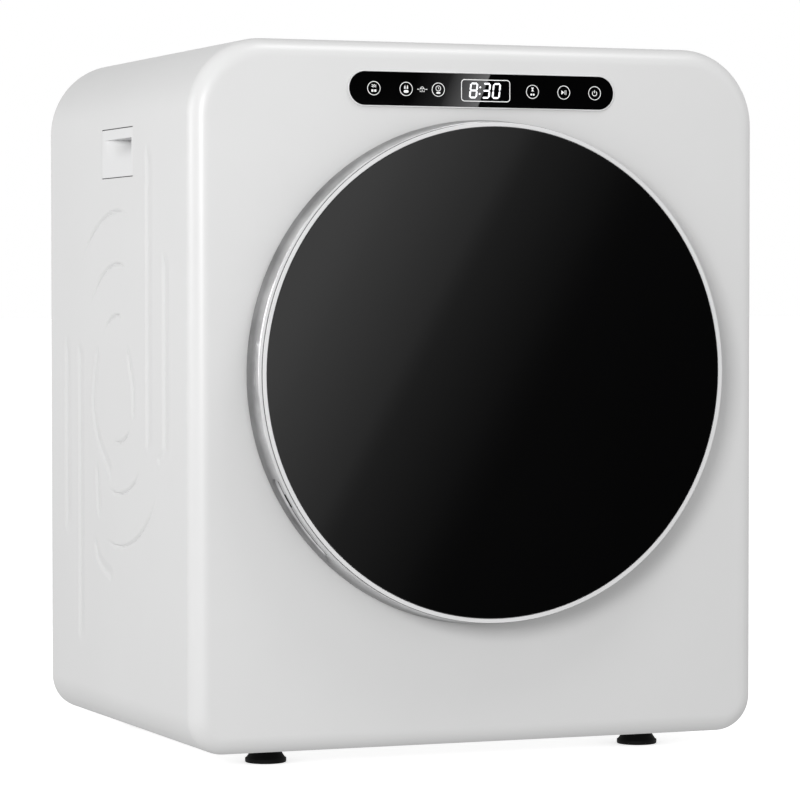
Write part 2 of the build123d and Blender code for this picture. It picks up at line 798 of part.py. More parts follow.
def belt_loop(grow):
    """Closed outline of the belt around drum, idler and motor pulley, grown outwards."""
    mid = seal_gap + belt_thickness / 2
    wheels = [
        (0.0, centre_z, drum_radius + mid + grow, 1),
        (idler_x, idler_z, idler_radius + mid - grow, -1),
        (motor_x, motor_z, pulley_radius + mid + grow, 1),
    ]
    spans = []
    for k in range(3):
        x1, z1, r1, s1 = wheels[k]
        x2, z2, r2, s2 = wheels[(k + 1) % 3]
        along = atan2(z2 - z1, x2 - x1)
        turn = along - asin((s2 * r2 - s1 * r1) / hypot(x2 - x1, z2 - z1))
        nx, nz = -sin(turn), cos(turn)
        spans.append(((x1 - nx * s1 * r1, z1 - nz * s1 * r1), (x2 - nx * s2 * r2, z2 - nz * s2 * r2)))
    edges = []
    for k in range(3):
        x, z, r, s = wheels[k]
        enter = spans[k - 1][1]
        leave = spans[k][0]
        a = atan2(enter[1] - z, enter[0] - x)
        b = atan2(leave[1] - z, leave[0] - x)
        while s > 0 and b < a:
            b += 2 * pi
        while s < 0 and b > a:
            b -= 2 * pi
        m = (a + b) / 2
        middle = (x + r * cos(m), z + r * sin(m))
        edges.append(ThreePointArc(enter, middle, leave))
        edges.append(Line(spans[k][0], spans[k][1]))
    return make_face(Curve() + edges)


def drum_belt():
    half = belt_thickness / 2
    y0 = belt_y - belt_width / 2
    y1 = belt_y + belt_width / 2
    return prism(belt_loop(half), y0, y1) - prism(belt_loop(-half), y0 - 1, y1 + 1)


# ---- electrics

def power_gland():
    y = cabinet_depth
    body = tube(gland_x, gland_z, 8.8, 4.5, y - 10, y + 14)
    return body + tube(gland_x, gland_z, 13, 4.5, y, y + 4)


def motor_capacitor():
    can = rod(-half_width + 95, base_top + 20, 20, 150, 230)
    return fillet(can.edges().filter_by(GeomType.CIRCLE), 2)


def build():
    save("cabinet_wrap", cabinet_wrap())
    save("front_panel", front_panel())
    save("rear_panel", rear_panel())
    save("rear_screws", rear_screws())
    save("base_plate", base_plate())
    for name, (x, y) in foot_points().items():
        save(name, levelling_foot(x, y))
    save("side_grip_left", side_grip(-1))
    save("side_grip_right", side_grip(1))
    for maker in (door_glass, door_bezel, door_core, door_side_ring, door_liner, door_gasket,
                  door_hook, hinge_block, hinge_bracket, hinge_pin, latch_housing, door_switch,
                  switch_plunger, control_bezel, control_glass, display_board,
                  control_housing, power_module, front_bulkhead, door_throat, front_felt_seal,
                  rear_bulkhead, rear_felt_seal, bearing_housing, drum_bearing, drum_shell,
                  drum_back, drum_spider, drum_lifters, lint_filter_frame,
                  lint_filter_mesh, lint_duct, blower_housing, blower_wheel, exhaust_duct,
                  exhaust_collar, heater_box, ptc_heater, limit_thermostats, motor_casing,
                  motor_rotor, motor_bracket, motor_pulley, idler_arm, idler_pulley,
                  idler_spring, drum_belt, power_gland, motor_capacitor):
        save(maker.__name__, maker())


os.makedirs("parts", exist_ok=True)
build()
print(len(made), "parts")
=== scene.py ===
import json
import math

import bmesh
import bpy
from mathutils import Matrix, Vector, geometry


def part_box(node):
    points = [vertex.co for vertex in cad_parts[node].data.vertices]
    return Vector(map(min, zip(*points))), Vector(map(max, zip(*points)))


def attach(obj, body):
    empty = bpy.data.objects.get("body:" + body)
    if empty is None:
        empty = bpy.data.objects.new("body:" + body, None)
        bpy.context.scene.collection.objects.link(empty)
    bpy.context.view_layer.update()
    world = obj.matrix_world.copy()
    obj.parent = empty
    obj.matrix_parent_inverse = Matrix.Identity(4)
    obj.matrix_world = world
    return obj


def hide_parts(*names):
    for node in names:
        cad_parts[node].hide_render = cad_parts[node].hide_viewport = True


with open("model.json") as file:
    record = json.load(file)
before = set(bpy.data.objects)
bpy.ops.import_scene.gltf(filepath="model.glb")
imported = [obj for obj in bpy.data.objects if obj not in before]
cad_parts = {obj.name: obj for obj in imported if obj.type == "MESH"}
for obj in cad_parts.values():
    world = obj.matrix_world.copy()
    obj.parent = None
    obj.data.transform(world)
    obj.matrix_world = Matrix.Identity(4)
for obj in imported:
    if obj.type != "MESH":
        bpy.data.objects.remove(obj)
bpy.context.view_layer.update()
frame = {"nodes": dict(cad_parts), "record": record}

nodes = frame["nodes"]
mm = 0.001


# mesh helpers

def addMesh(name, points, faces, sharp=32.0, weld=0.0):
    mesh = bpy.data.meshes.new(name)
    mesh.from_pydata([tuple(p) for p in points], [], faces)
    shape = bmesh.new()
    shape.from_mesh(mesh)
    if weld:
        bmesh.ops.remove_doubles(shape, verts=shape.verts, dist=weld)
    bmesh.ops.recalc_face_normals(shape, faces=shape.faces)
    shape.to_mesh(mesh)
    shape.free()
    for face in mesh.polygons:
        face.use_smooth = True
    mesh.set_sharp_from_angle(angle=math.radians(sharp))
    obj = bpy.data.objects.new(name, mesh)
    bpy.context.scene.collection.objects.link(obj)
    return obj


def arc(cx, cy, radius, start, end, steps):
    turn = [math.radians(start + (end - start) * k / steps) for k in range(steps + 1)]
    return [(cx + radius * math.cos(t), cy + radius * math.sin(t)) for t in turn]


def ringPoints(centre, radius, y, steps):
    cx, cz = centre
    turn = [2 * math.pi * k / steps for k in range(steps)]
    return [(cx + radius * math.cos(t), y, cz + radius * math.sin(t)) for t in turn]


def stripFaces(first, second, count, closed=True):
    last = count if closed else count - 1
    return [(first + k, first + (k + 1) % count, second + (k + 1) % count, second + k) for k in range(last)]


# turns (radius, y) points about an axis along y
def latheY(name, profile, centre, steps=288, closed=True, sharp=32.0):
    points, faces = [], []
    for radius, y in profile:
        points += ringPoints(centre, max(radius, 1e-6), y, steps)
    rows = len(profile)
    for k in range(rows if closed else rows - 1):
        faces += stripFaces(k * steps, ((k + 1) % rows) * steps, steps)
    return addMesh(name, points, faces, sharp, weld=1e-6)


def latheZ(name, profile, centre, steps=96, sharp=32.0):
    cx, cy = centre
    points, faces = [], []
    for radius, z in profile:
        for k in range(steps):
            t = 2 * math.pi * k / steps
            r = max(radius, 1e-6)
            points.append((cx + r * math.cos(t), cy + r * math.sin(t), z))
    for k in range(len(profile) - 1):
        faces += stripFaces(k * steps, (k + 1) * steps, steps)
    return addMesh(name, points, faces, sharp, weld=1e-6)


# a flat plate cut to a loop of (x, z) points, between two depths
def plate(name, loop, yFront, yBack):
    count = len(loop)
    triangles = geometry.tessellate_polygon([[Vector((x, z, 0)) for x, z in loop]])
    points = [(x, y, z) for y in (yFront, yBack) for x, z in loop]
    faces = [tuple(t) for t in triangles]
    faces += [tuple(i + count for i in reversed(t)) for t in triangles]
    return addMesh(name, points, faces + stripFaces(0, count, count), 20.0)


def circleLoop(cx, cz, radius, steps):
    return arc(cx, cz, radius, 0, 360 * (steps - 1) / steps, steps - 1)


def stadiumLoop(cx, cz, length, height, steps=48):
    r = height / 2
    reach = length / 2 - r
    return arc(cx + reach, cz, r, -90, 90, steps) + arc(cx - reach, cz, r, 90, 270, steps)


# takes a box out of a closed mesh
def cutBox(obj, low, high):
    low, high = Vector(low), Vector(high)
    bpy.ops.mesh.primitive_cube_add(size=1, location=(low + high) / 2)
    tool = bpy.context.object
    tool.scale = high - low
    cut = obj.modifiers.new("cut", "BOOLEAN")
    cut.operation = "DIFFERENCE"
    cut.solver = "EXACT"
    cut.object = tool
    bpy.context.view_layer.update()
    seen = obj.evaluated_get(bpy.context.evaluated_depsgraph_get())
    mesh = bpy.data.meshes.new_from_object(seen)
    obj.modifiers.clear()
    obj.data = mesh
    mesh.set_sharp_from_angle(angle=math.radians(32))
    bpy.data.objects.remove(tool)
    return obj


boxFaces = [(0, 1, 3, 2), (4, 6, 7, 5), (0, 4, 5, 1), (2, 3, 7, 6), (0, 2, 6, 4), (1, 5, 7, 3)]


def boxPoints(x0, x1, y0, y1, z0, z1):
    return [(x, y, z) for x in (x0, x1) for y in (y0, y1) for z in (z0, z1)]


def settle(obj, body, material, stands=()):
    obj.data.materials.clear()
    obj.data.materials.append(material)
    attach(obj, body)
    if stands:
        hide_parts(*stands)
    return obj


# finishes

# sets a colour ramp's stops, each a place and a grey or a colour
def setStops(ramp, stops):
    ends = ramp.elements
    for stop, (place, colour) in ((ends[0], stops[0]), (ends[1], stops[-1])):
        stop.position = place
        stop.color = opaque(colour)
    for place, colour in stops[1:-1]:
        ends.new(place).color = opaque(colour)


def opaque(colour):
    return (colour, colour, colour, 1) if isinstance(colour, float) else (*colour, 1)


def nodeOf(tree, kind):
    return next(n for n in tree.nodes if n.type == kind)


def mapRange(tree, low, high, toLow=0.0, toHigh=1.0, clamp=True):
    node = tree.nodes.new("ShaderNodeMapRange")
    for key, value in (("From Min", low), ("From Max", high), ("To Min", toLow), ("To Max", toHigh)):
        node.inputs[key].default_value = value
    node.clamp = clamp
    return node


# mottled colour, uneven gloss and a fine relief, all from noise on the object's own place
def finish(name, look):
    material = bpy.data.materials.new(name)
    material.use_nodes = True
    tree = material.node_tree
    tree.nodes.clear()
    out = tree.nodes.new("ShaderNodeOutputMaterial")
    skin = tree.nodes.new("ShaderNodeBsdfPrincipled")
    place = tree.nodes.new("ShaderNodeTexCoord")
    stretch = tree.nodes.new("ShaderNodeMapping")
    stretch.inputs["Scale"].default_value = look.get("stretch", (1, 1, 1))
    tree.links.new(place.outputs["Object"], stretch.inputs["Vector"])
    tree.links.new(skin.outputs["BSDF"], out.inputs["Surface"])

    def noise(scale, detail, roughness=0.55):
        node = tree.nodes.new("ShaderNodeTexNoise")
        node.inputs["Scale"].default_value = scale
        node.inputs["Detail"].default_value = detail
        node.inputs["Roughness"].default_value = roughness
        tree.links.new(stretch.outputs["Vector"], node.inputs["Vector"])
        return node

    broad = noise(look.get("broad", 9.0), 3.0)
    fine = noise(look.get("fine", 900.0), 4.0, 0.6)
    shift = look.get("shift", 0.04)
    dark = [c * (1 - shift) for c in look["base"]]
    pale = [min(1.0, c * (1 + shift)) for c in look["base"]]
    ramp = tree.nodes.new("ShaderNodeValToRGB")
    setStops(ramp.color_ramp, [(0.3, dark), (0.7, pale)])
    tree.links.new(broad.outputs["Fac"], ramp.inputs["Fac"])
    tree.links.new(ramp.outputs["Color"], skin.inputs["Base Color"])
    rough = look.get("rough", 0.4)
    spread = look.get("spread", 0.08)
    gloss = mapRange(tree, 0.0, 1.0, max(0.02, rough - spread), min(1.0, rough + spread))
    tree.links.new(fine.outputs["Fac"], gloss.inputs["Value"])
    tree.links.new(gloss.outputs["Result"], skin.inputs["Roughness"])
    skin.inputs["Metallic"].default_value = look.get("metal", 0.0)
    skin.inputs["Coat Weight"].default_value = look.get("coat", 0.0)
    skin.inputs["Coat Roughness"].default_value = look.get("coatRough", 0.1)
    skin.inputs["Specular IOR Level"].default_value = look.get("specular", 0.5)
    skin.inputs["Sheen Weight"].default_value = look.get("sheen", 0.0)
    if look.get("bump", 0):
        relief = tree.nodes.new("ShaderNodeBump")
        relief.inputs["Strength"].default_value = look["bump"]
        relief.inputs["Distance"].default_value = look.get("height", 0.0002)
        tree.links.new(fine.outputs["Fac"], relief.inputs["Height"])
        tree.links.new(relief.outputs["Normal"], skin.inputs["Normal"])
    return material


looks = {
    "cabinet_white": {"base": (0.575, 0.575, 0.575), "shift": 0.008, "rough": 0.36, "spread": 0.05,
                      "fine": 1500.0, "bump": 0.05, "height": 0.00004, "coat": 0.08, "coatRough": 0.25,
                      "specular": 0.4},
    "galvanised": {"base": (0.56, 0.57, 0.58), "shift": 0.13, "rough": 0.42, "spread": 0.12, "metal": 0.85,
                   "broad": 60.0, "fine": 500.0, "bump": 0.1},
    "foot_black": {"base": (0.003, 0.003, 0.003), "shift": 0.3, "rough": 0.6, "specular": 0.12, "fine": 700.0,
                   "bump": 0.25},
    "grip_white": {"base": (0.62, 0.62, 0.623), "shift": 0.015, "rough": 0.45, "fine": 1100.0, "bump": 0.12},
    "ring_silver": {"base": (0.62, 0.62, 0.624), "shift": 0.03, "rough": 0.46, "metal": 0.15, "fine": 800.0,
                    "bump": 0.05},
    "ring_grey": {"base": (0.40, 0.40, 0.405), "shift": 0.28, "rough": 0.33, "metal": 0.7, "broad": 26.0,
                  "fine": 300.0, "bump": 0.06, "coat": 0.1},
    # seam_dark is painted shade: it darkens the door trim's corner groove and the grip's gaps
    "seam_dark": {"base": (0.10, 0.10, 0.102), "shift": 0.15, "rough": 0.6, "fine": 700.0, "bump": 0.1},
    "plastic_grey": {"base": (0.50, 0.51, 0.53), "shift": 0.04, "rough": 0.5, "fine": 900.0, "bump": 0.15},
    "plastic_dark": {"base": (0.035, 0.035, 0.038), "shift": 0.15, "rough": 0.48, "fine": 900.0, "bump": 0.2},
    "seal_grey": {"base": (0.16, 0.165, 0.17), "shift": 0.1, "rough": 0.62, "fine": 600.0, "bump": 0.2},
    "board_green": {"base": (0.015, 0.12, 0.05), "shift": 0.35, "rough": 0.35, "broad": 180.0, "fine": 400.0,
                    "bump": 0.3},
    "felt": {"base": (0.34, 0.335, 0.32), "shift": 0.22, "rough": 0.95, "broad": 300.0, "fine": 1600.0,
             "bump": 0.9, "height": 0.0008, "sheen": 0.5},
    "drum_steel": {"base": (0.70, 0.71, 0.72), "shift": 0.05, "rough": 0.26, "spread": 0.1, "metal": 1.0,
                   "broad": 20.0, "fine": 260.0, "stretch": (1, 12, 1), "bump": 0.08},
    "lifter_plastic": {"base": (0.74, 0.75, 0.77), "shift": 0.02, "rough": 0.3, "fine": 800.0, "bump": 0.08},
    "bearing_bronze": {"base": (0.55, 0.36, 0.14), "shift": 0.12, "rough": 0.34, "metal": 1.0, "bump": 0.1},
    "cast_grey": {"base": (0.42, 0.43, 0.44), "shift": 0.12, "rough": 0.55, "metal": 0.9, "fine": 420.0,
                  "bump": 0.5, "height": 0.0004},
    "duct_metal": {"base": (0.66, 0.67, 0.68), "shift": 0.07, "rough": 0.32, "metal": 1.0, "fine": 240.0,
                   "stretch": (1, 1, 14), "bump": 0.12},
    "heater_metal": {"base": (0.50, 0.47, 0.42), "shift": 0.16, "rough": 0.45, "metal": 0.9, "bump": 0.2},
    "thermostat_black": {"base": (0.02, 0.02, 0.021), "shift": 0.2, "rough": 0.35, "bump": 0.1},
    "motor_steel": {"base": (0.30, 0.31, 0.32), "shift": 0.12, "rough": 0.4, "metal": 0.8, "bump": 0.15},
    "shaft_steel": {"base": (0.58, 0.59, 0.60), "shift": 0.06, "rough": 0.25, "metal": 1.0, "fine": 350.0,
                    "stretch": (1, 10, 1), "bump": 0.1},
    "belt_black": {"base": (0.014, 0.014, 0.014), "shift": 0.2, "rough": 0.7, "fine": 500.0, "bump": 0.4},
    "roller_white": {"base": (0.72, 0.71, 0.66), "shift": 0.04, "rough": 0.42, "bump": 0.1},
    "filter_blue": {"base": (0.13, 0.26, 0.45), "shift": 0.08, "rough": 0.42, "bump": 0.12},
    "filter_mesh": {"base": (0.55, 0.56, 0.57), "shift": 0.1, "rough": 0.35, "metal": 0.9, "bump": 0.2},
    "screw_zinc": {"base": (0.66, 0.66, 0.62), "shift": 0.08, "rough": 0.3, "metal": 1.0, "bump": 0.1},
}
finishes = {name: finish(name, look) for name, look in looks.items()}


glassLook = {"base": (0.0012, 0.0012, 0.0013), "shift": 0.2, "rough": 0.035, "spread": 0.012, "broad": 3.0,
             "fine": 40.0, "coat": 0.4, "coatRough": 0.03}


# gloss black; with a sheen, a painted reflection: a pale wash in the base colour climbs across it towards a
# slanting edge
def blackGlass(name, sheen=None):
    material = finish(name, glassLook)
    if not sheen:
        return material
    tree = material.node_tree
    apart = tree.nodes.new("ShaderNodeSeparateXYZ")
    tree.links.new(nodeOf(tree, "TEX_COORD").outputs["Object"], apart.inputs["Vector"])
    lean = tree.nodes.new("ShaderNodeMath")
    lean.operation = "MULTIPLY_ADD"
    lean.inputs[1].default_value = -sheen["slant"]
    tree.links.new(apart.outputs["Z"], lean.inputs[0])
    tree.links.new(apart.outputs["X"], lean.inputs[2])
    shift = sheen["slant"] * stripZ
    span = mapRange(tree, sheen["start"] - shift, sheen["end"] - shift, clamp=False)
    tree.links.new(lean.outputs["Value"], span.inputs["Value"])
    paintedReflection = tree.nodes.new("ShaderNodeValToRGB")
    setStops(paintedReflection.color_ramp, sheen["stops"])
    tree.links.new(span.outputs["Result"], paintedReflection.inputs["Fac"])
    tree.links.new(paintedReflection.outputs["Color"], nodeOf(tree, "BSDF_PRINCIPLED").inputs["Base Color"])
    return material


# back-lit print: a soft glow with a grain of its own
def litPrint(name, colour, strength):
    material = finish(name, {"base": colour, "shift": 0.03, "rough": 0.4, "fine": 1200.0, "bump": 0.02})
    tree = material.node_tree
    skin = nodeOf(tree, "BSDF_PRINCIPLED")
    tree.links.new(nodeOf(tree, "VALTORGB").outputs["Color"], skin.inputs["Emission Color"])
    skin.inputs["Emission Strength"].default_value = strength
    return material


print("stage 1: finishes ready", len(finishes))

# the frame's own places, all from the CAD

panelLow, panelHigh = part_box("front_panel")
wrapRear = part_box("cabinet_wrap")[1].y
glassLow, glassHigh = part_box("door_glass")
ringLow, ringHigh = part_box("door_side_ring")
bezelLow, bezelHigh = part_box("door_bezel")
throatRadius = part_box("door_throat")[1].x
stripLow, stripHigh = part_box("control_glass")
rimLow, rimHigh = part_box("control_bezel")
frontY = panelLow.y
baseZ = panelLow.z
halfWidth = panelHigh.x
bodyHeight = panelHigh.z - panelLow.z
doorZ = (glassLow.z + glassHigh.z) / 2
doorCentre = (0.0, doorZ)
stripZ = (stripLow.z + stripHigh.z) / 2

cabinet = {
    "topCorner": 76 * mm, "bottomCorner": 36 * mm, "frontEdge": 18 * mm, "rearEdge": 7 * mm,
    "skin": 0.8 * mm, "step": 1.6 * mm, "frontFlange": 1.5 * mm, "rearFlange": 10 * mm,
    "lowArc": 12, "lowSteps": 10, "topArc": 24, "topSteps": 14, "frontTurn": 6, "rearTurn": 10,
    "mouthInset": 11.9 * mm, "mouthSteps": 240, "stripInset": 4 * mm,
    "slotHalf": (9 * mm, 8 * mm), "hook": 222 * mm, "switchDrop": 60 * mm, "switchHole": 3.4 * mm,
}


# cabinet outline as (x, z, onSide), anticlockwise from the middle of the bottom
def sideOutline(inset, sideLevels):
    rTop = cabinet["topCorner"] - inset
    rLow = cabinet["bottomCorner"] - inset
    w = halfWidth - inset
    xLow = halfWidth - cabinet["bottomCorner"]
    xTop = halfWidth - cabinet["topCorner"]
    low = baseZ + inset
    high = baseZ + bodyHeight - inset
    zLow = baseZ + cabinet["bottomCorner"]
    zTop = baseZ + bodyHeight - cabinet["topCorner"]
    lowArc, lowSteps = cabinet["lowArc"], cabinet["lowSteps"]
    topArc, topSteps = cabinet["topArc"], cabinet["topSteps"]
    points = [(xLow * k / lowSteps, low, 0) for k in range(lowSteps)]
    points += [(x, z, 0) for x, z in arc(xLow, zLow, rLow, -90, 0, lowArc)[:-1]]
    points += [(w, z, 1) for z in sideLevels]
    points += [(x, z, 0) for x, z in arc(xTop, zTop, rTop, 0, 90, topArc)[1:]]
    points += [(xTop * (1 - k / topSteps), high, 0) for k in range(1, 2 * topSteps)]
    points += [(x, z, 0) for x, z in arc(-xTop, zTop, rTop, 90, 180, topArc)[:-1]]
    points += [(-w, z, 1) for z in reversed(sideLevels)]
    points += [(x, z, 0) for x, z in arc(-xLow, zLow, rLow, 180, 270, lowArc)[1:]]
    points += [(-xLow * (1 - k / lowSteps), low, 0) for k in range(1, lowSteps)]
    return points


# even steps between two values that also stop at each kept value
def steps(start, end, step, keep=()):
    stops = sorted([start, end] + [k for k in keep if start < k < end])
    values = []
    for a, b in zip(stops, stops[1:]):
        count = max(1, round((b - a) / step))
        values += [a + (b - a) * k / count for k in range(count)]
    return values + [end]


sideBeads = {
    "centre": (232 * mm, 356 * mm),
    # sharp arcs: radius and the span, in degrees from the rear, that the pressing runs through
    "arcDeep": 1.5 * mm, "arcHalf": 2.4 * mm, "arcFade": 14,
    "arcs": [(64 * mm, 46, 106), (64 * mm, 230, 284), (115.5 * mm, 40, 106), (115.5 * mm, 230, 286),
             (168.5 * mm, 44, 104), (168.5 * mm, 222, 284)],
    # soft beads: a long fall on the front side and a short rise behind
    "beadDeep": 1.7 * mm, "fall": 20 * mm, "rise": 7 * mm,
    "straight": [(136 * mm, 300 * mm, 572 * mm), (84 * mm, 295 * mm, 466 * mm), (362 * mm, 98 * mm, 376 * mm),
                 (408 * mm, 207 * mm, 381 * mm)],
    # swirls, each a few (y, z) points in millimetres that a smooth curve runs through
    "swirlDeep": 1.2 * mm, "swirlFall": 12 * mm, "swirlRise": 6 * mm, "swirlReach": (190 * mm, 250 * mm),
    "swirls": [[(302, 380), (312, 351), (314, 328), (309, 309), (290, 285), (275, 274), (259, 262)],
               [(199, 380), (184, 350), (183, 324)], [(303, 262), (300, 241), (297, 221)],
               [(307, 184), (298, 171), (279, 162), (257, 156)], [(84, 297), (88, 288), (99, 280)]],
}


# distance to a path, and whether the spot lies behind it
def nearPath(y, z, path):
    best, behind = 1.0, False
    for (ay, az), (by, bz) in zip(path, path[1:]):
        dy, dz = by - ay, bz - az
        along = max(0.0, min(1.0, ((y - ay) * dy + (z - az) * dz) / (dy * dy + dz * dz)))
        py, pz = ay + along * dy, az + along * dz
        gap = math.hypot(y - py, z - pz)
        if gap < best:
            best, behind = gap, y > py
    return best, behind


# runs a smooth curve through a few points
def smoothPath(points, count=5):
    ends = [points[0]] + list(points) + [points[-1]]
    path = []
    for a, b, c, d in zip(ends, ends[1:], ends[2:], ends[3:]):
        for k in range(count):
            t = k / count
            path.append(tuple(0.5 * (2 * q + (r - p) * t + (2 * p - 5 * q + 4 * r - s) * t * t
                                     + (3 * q - p - 3 * r + s) * t ** 3) for p, q, r, s in zip(a, b, c, d)))
    return path + [points[-1]]


swirlPaths = [smoothPath([(y * mm, z * mm) for y, z in one]) for one in sideBeads["swirls"]]


def hump(gap, reach):
    return 0.5 * (1 + math.cos(math.pi * gap / reach)) if gap < reach else 0.0


# depth of the shallow pressing at a depth and a height on the side
def pressing(y, z):
    look = sideBeads
    cy, cz = look["centre"]
    deep = 0.0
    away = math.hypot(y - cy, z - cz)
    angle = math.degrees(math.atan2(z - cz, y - cy)) % 360
    for radius, start, end in look["arcs"]:
        if abs(away - radius) < look["arcHalf"] and start < angle < end:
            fade = min(1.0, (angle - start) / look["arcFade"], (end - angle) / look["arcFade"])
            deep = max(deep, fade * look["arcDeep"] * hump(abs(away - radius), look["arcHalf"]))
    for line, low, high in look["straight"]:
        reach = look["rise"] if y > line else look["fall"]
        gap = math.hypot(abs(y - line) / reach, max(0.0, low - z, z - high) / look["fall"])
        deep = max(deep, look["beadDeep"] * hump(gap, 1.0))
    reachY, reachZ = look["swirlReach"]
    if abs(y - cy) < reachY and abs(z - cz) < reachZ:
        for path in swirlPaths:
            gap, behind = nearPath(y, z, path)
            reach = look["swirlRise"] if behind else look["swirlFall"]
            deep = max(deep, look["swirlDeep"] * hump(gap, reach))
    return deep


grip = {
    "front": 180 * mm, "back": 280 * mm, "low": 558 * mm, "high": 608 * mm,
    "gap": -0.6 * mm, "endGap": 1.0 * mm, "sink": 0.05 * mm, "rim": 2 * mm, "cell": (1.6 * mm, 1.2 * mm),
    # the scoop: where it lies, how steep its walls are, and how it fades to the rear and downwards
    "pocket": (184 * mm, 273 * mm, 563 * mm, 597 * mm), "deep": 21 * mm, "wall": 0.7 * mm, "fade": 0.62,
    "curl": 3.2, "gapShade": (2.2 * mm, 1.2 * mm),
}


def buildCabinet():
    edge = cabinet["frontEdge"]
    rear = wrapRear - frontY
    low, high = cabinet["bottomCorner"], bodyHeight - cabinet["topCorner"]
    levels = [baseZ + v for v in steps(low, high, cabinet["step"], (grip["low"], grip["high"]))]
    rows = [(edge + cabinet["frontFlange"], 0.0)]  # each row is (inset, depth behind the front face)
    for turn in range(0, 91, cabinet["frontTurn"]):
        t = math.radians(turn)
        rows.append((edge - edge * math.sin(t), edge - edge * math.cos(t)))
    bend = cabinet["rearEdge"]
    for y in steps(edge, rear - bend, cabinet["step"], (grip["front"], grip["back"]))[1:]:
        rows.append((0.0, y))
    for turn in range(cabinet["rearTurn"], 91, cabinet["rearTurn"]):
        t = math.radians(turn)
        rows.append((bend - bend * math.cos(t), rear - bend + bend * math.sin(t)))
    rows.append((cabinet["rearFlange"], rear))
    points, faces = [], []
    width = 0
    for inset, y in rows:
        ring = sideOutline(inset, levels)
        width = len(ring)
        for x, z, onSide in ring:
            if onSide and inset == 0.0:
                x -= math.copysign(pressing(y, z - baseZ), x)
            points.append((x, frontY + y, z))
    marks = [onSide for x, z, onSide in sideOutline(0.0, levels)]
    heights = [z - baseZ for x, z, onSide in sideOutline(0.0, levels)]
    tiny = 1e-6
    for i in range(len(rows) - 1):
        inHole = rows[i][1] > grip["front"] - tiny and rows[i + 1][1] < grip["back"] + tiny
        for j in range(width):
            k = (j + 1) % width
            below, above = min(heights[j], heights[k]), max(heights[j], heights[k])
            inSide = below > grip["low"] - tiny and above < grip["high"] + tiny
            if inHole and inSide and marks[j] and marks[k]:
                continue
            faces.append((i * width + j, i * width + k, (i + 1) * width + k, (i + 1) * width + j))
    # the front face, with its door opening, strip cut-out, latch slot and switch hole
    outer = [(points[j][0], points[j][2]) for j in range(width)]
    halfX, halfZ = cabinet["slotHalf"]
    hook = -cabinet["hook"]
    rimLong, rimTall = rimHigh.x - rimLow.x, rimHigh.z - rimLow.z
    inset = cabinet["stripInset"]
    holes = [
        circleLoop(0.0, doorZ, throatRadius - cabinet["mouthInset"], cabinet["mouthSteps"]),
        stadiumLoop(0.0, (rimLow.z + rimHigh.z) / 2, rimLong - inset, rimTall - inset),
        [(hook + a * halfX, doorZ + b * halfZ) for a, b in ((-1, -1), (1, -1), (1, 1), (-1, 1))],
        circleLoop(hook, doorZ - cabinet["switchDrop"], cabinet["switchHole"], 32),
    ]
    loops = [outer] + holes
    triangles = geometry.tessellate_polygon([[Vector((x, z, 0)) for x, z in one] for one in loops])
    holeStart = len(points)
    for one in holes:
        points += [(x, frontY, z) for x, z in one]

    def index(i):
        return i if i < width else holeStart + i - width

    faces += [tuple(index(i) for i in t) for t in triangles]
    start = holeStart
    for one in holes:  # the sheet's own thickness round each hole
        back = len(points)
        points += [(x, frontY + cabinet["skin"], z) for x, z in one]
        faces += stripFaces(start, back, len(one))
        start += len(one)
    shell = addMesh("cabinetSkin", points, faces, 28.0)
    hidden = ["front_panel", "cabinet_wrap"]
    return settle(shell, "cabinet", finishes["cabinet_white"], hidden)


# a scoop, deepest under its top edge and at the front, that fades out to the rear
def buildGrip(side, name, node):
    front, back, lo, hi = grip["pocket"]
    gap, wall, seal = grip["gap"], grip["wall"], grip["endGap"]
    stepY, stepZ = grip["cell"]
    ys = steps(grip["front"] + gap, grip["back"] - gap, stepY, (front, front + wall, back))
    zs = steps(grip["low"] + seal, grip["high"] - seal, stepZ, (lo, hi - wall, hi))

    def depth(y, z):
        if not (front < y < back and lo < z < hi):
            return 0.0
        steep = min(1.0, (y - front) / wall, (hi - z) / wall)
        fade = min(1.0, (back - y) / (grip["fade"] * (back - front)))
        rise = (z - lo) / (hi - lo)
        return grip["deep"] * steep * fade * fade * (3 - 2 * fade) * rise ** grip["curl"]

    points, faces = [], []
    wide = len(zs)
    for y in ys:
        for z in zs:
            points.append((side * (halfWidth - grip["sink"] - depth(y, z)), frontY + y, baseZ + z))
    for i in range(len(ys) - 1):
        for j in range(wide - 1):
            a = i * wide + j
            faces.append((a, a + 1, a + wide + 1, a + wide))
    last = len(ys) - 1
    rim = list(range(wide)) + [i * wide + wide - 1 for i in range(1, last + 1)]
    rim += [last * wide + j for j in range(wide - 2, -1, -1)] + [i * wide for i in range(last - 1, 0, -1)]
    start = len(points)
    points += [(points[k][0] - side * grip["rim"], points[k][1], points[k][2]) for k in rim]
    for k in range(len(rim)):
        n = (k + 1) % len(rim)
        faces.append((rim[k], rim[n], start + n, start + k))
    dish = addMesh(name, points, faces, 40.0)
    # painted shade: dark blocks inside the top and bottom gaps stand in for the shade behind them
    x0, x1 = (side * (halfWidth - deep) for deep in grip["gapShade"])
    y0, y1 = frontY + grip["front"], frontY + grip["back"]
    for end, z in (("Low", baseZ + grip["low"]), ("High", baseZ + grip["high"] - seal)):
        gapShade = addMesh(name + "Seam" + end, boxPoints(x0, x1, y0, y1, z, z + seal), boxFaces, 20.0)
        settle(gapShade, "cabinet", finishes["seam_dark"])
    return settle(dish, "cabinet", finishes["grip_white"], [node])


buildCabinet()
buildGrip(-1, "gripLeft", "side_grip_left")
buildGrip(1, "gripRight", "side_grip_right")
print("stage 2: cabinet skin and grips")

# the door

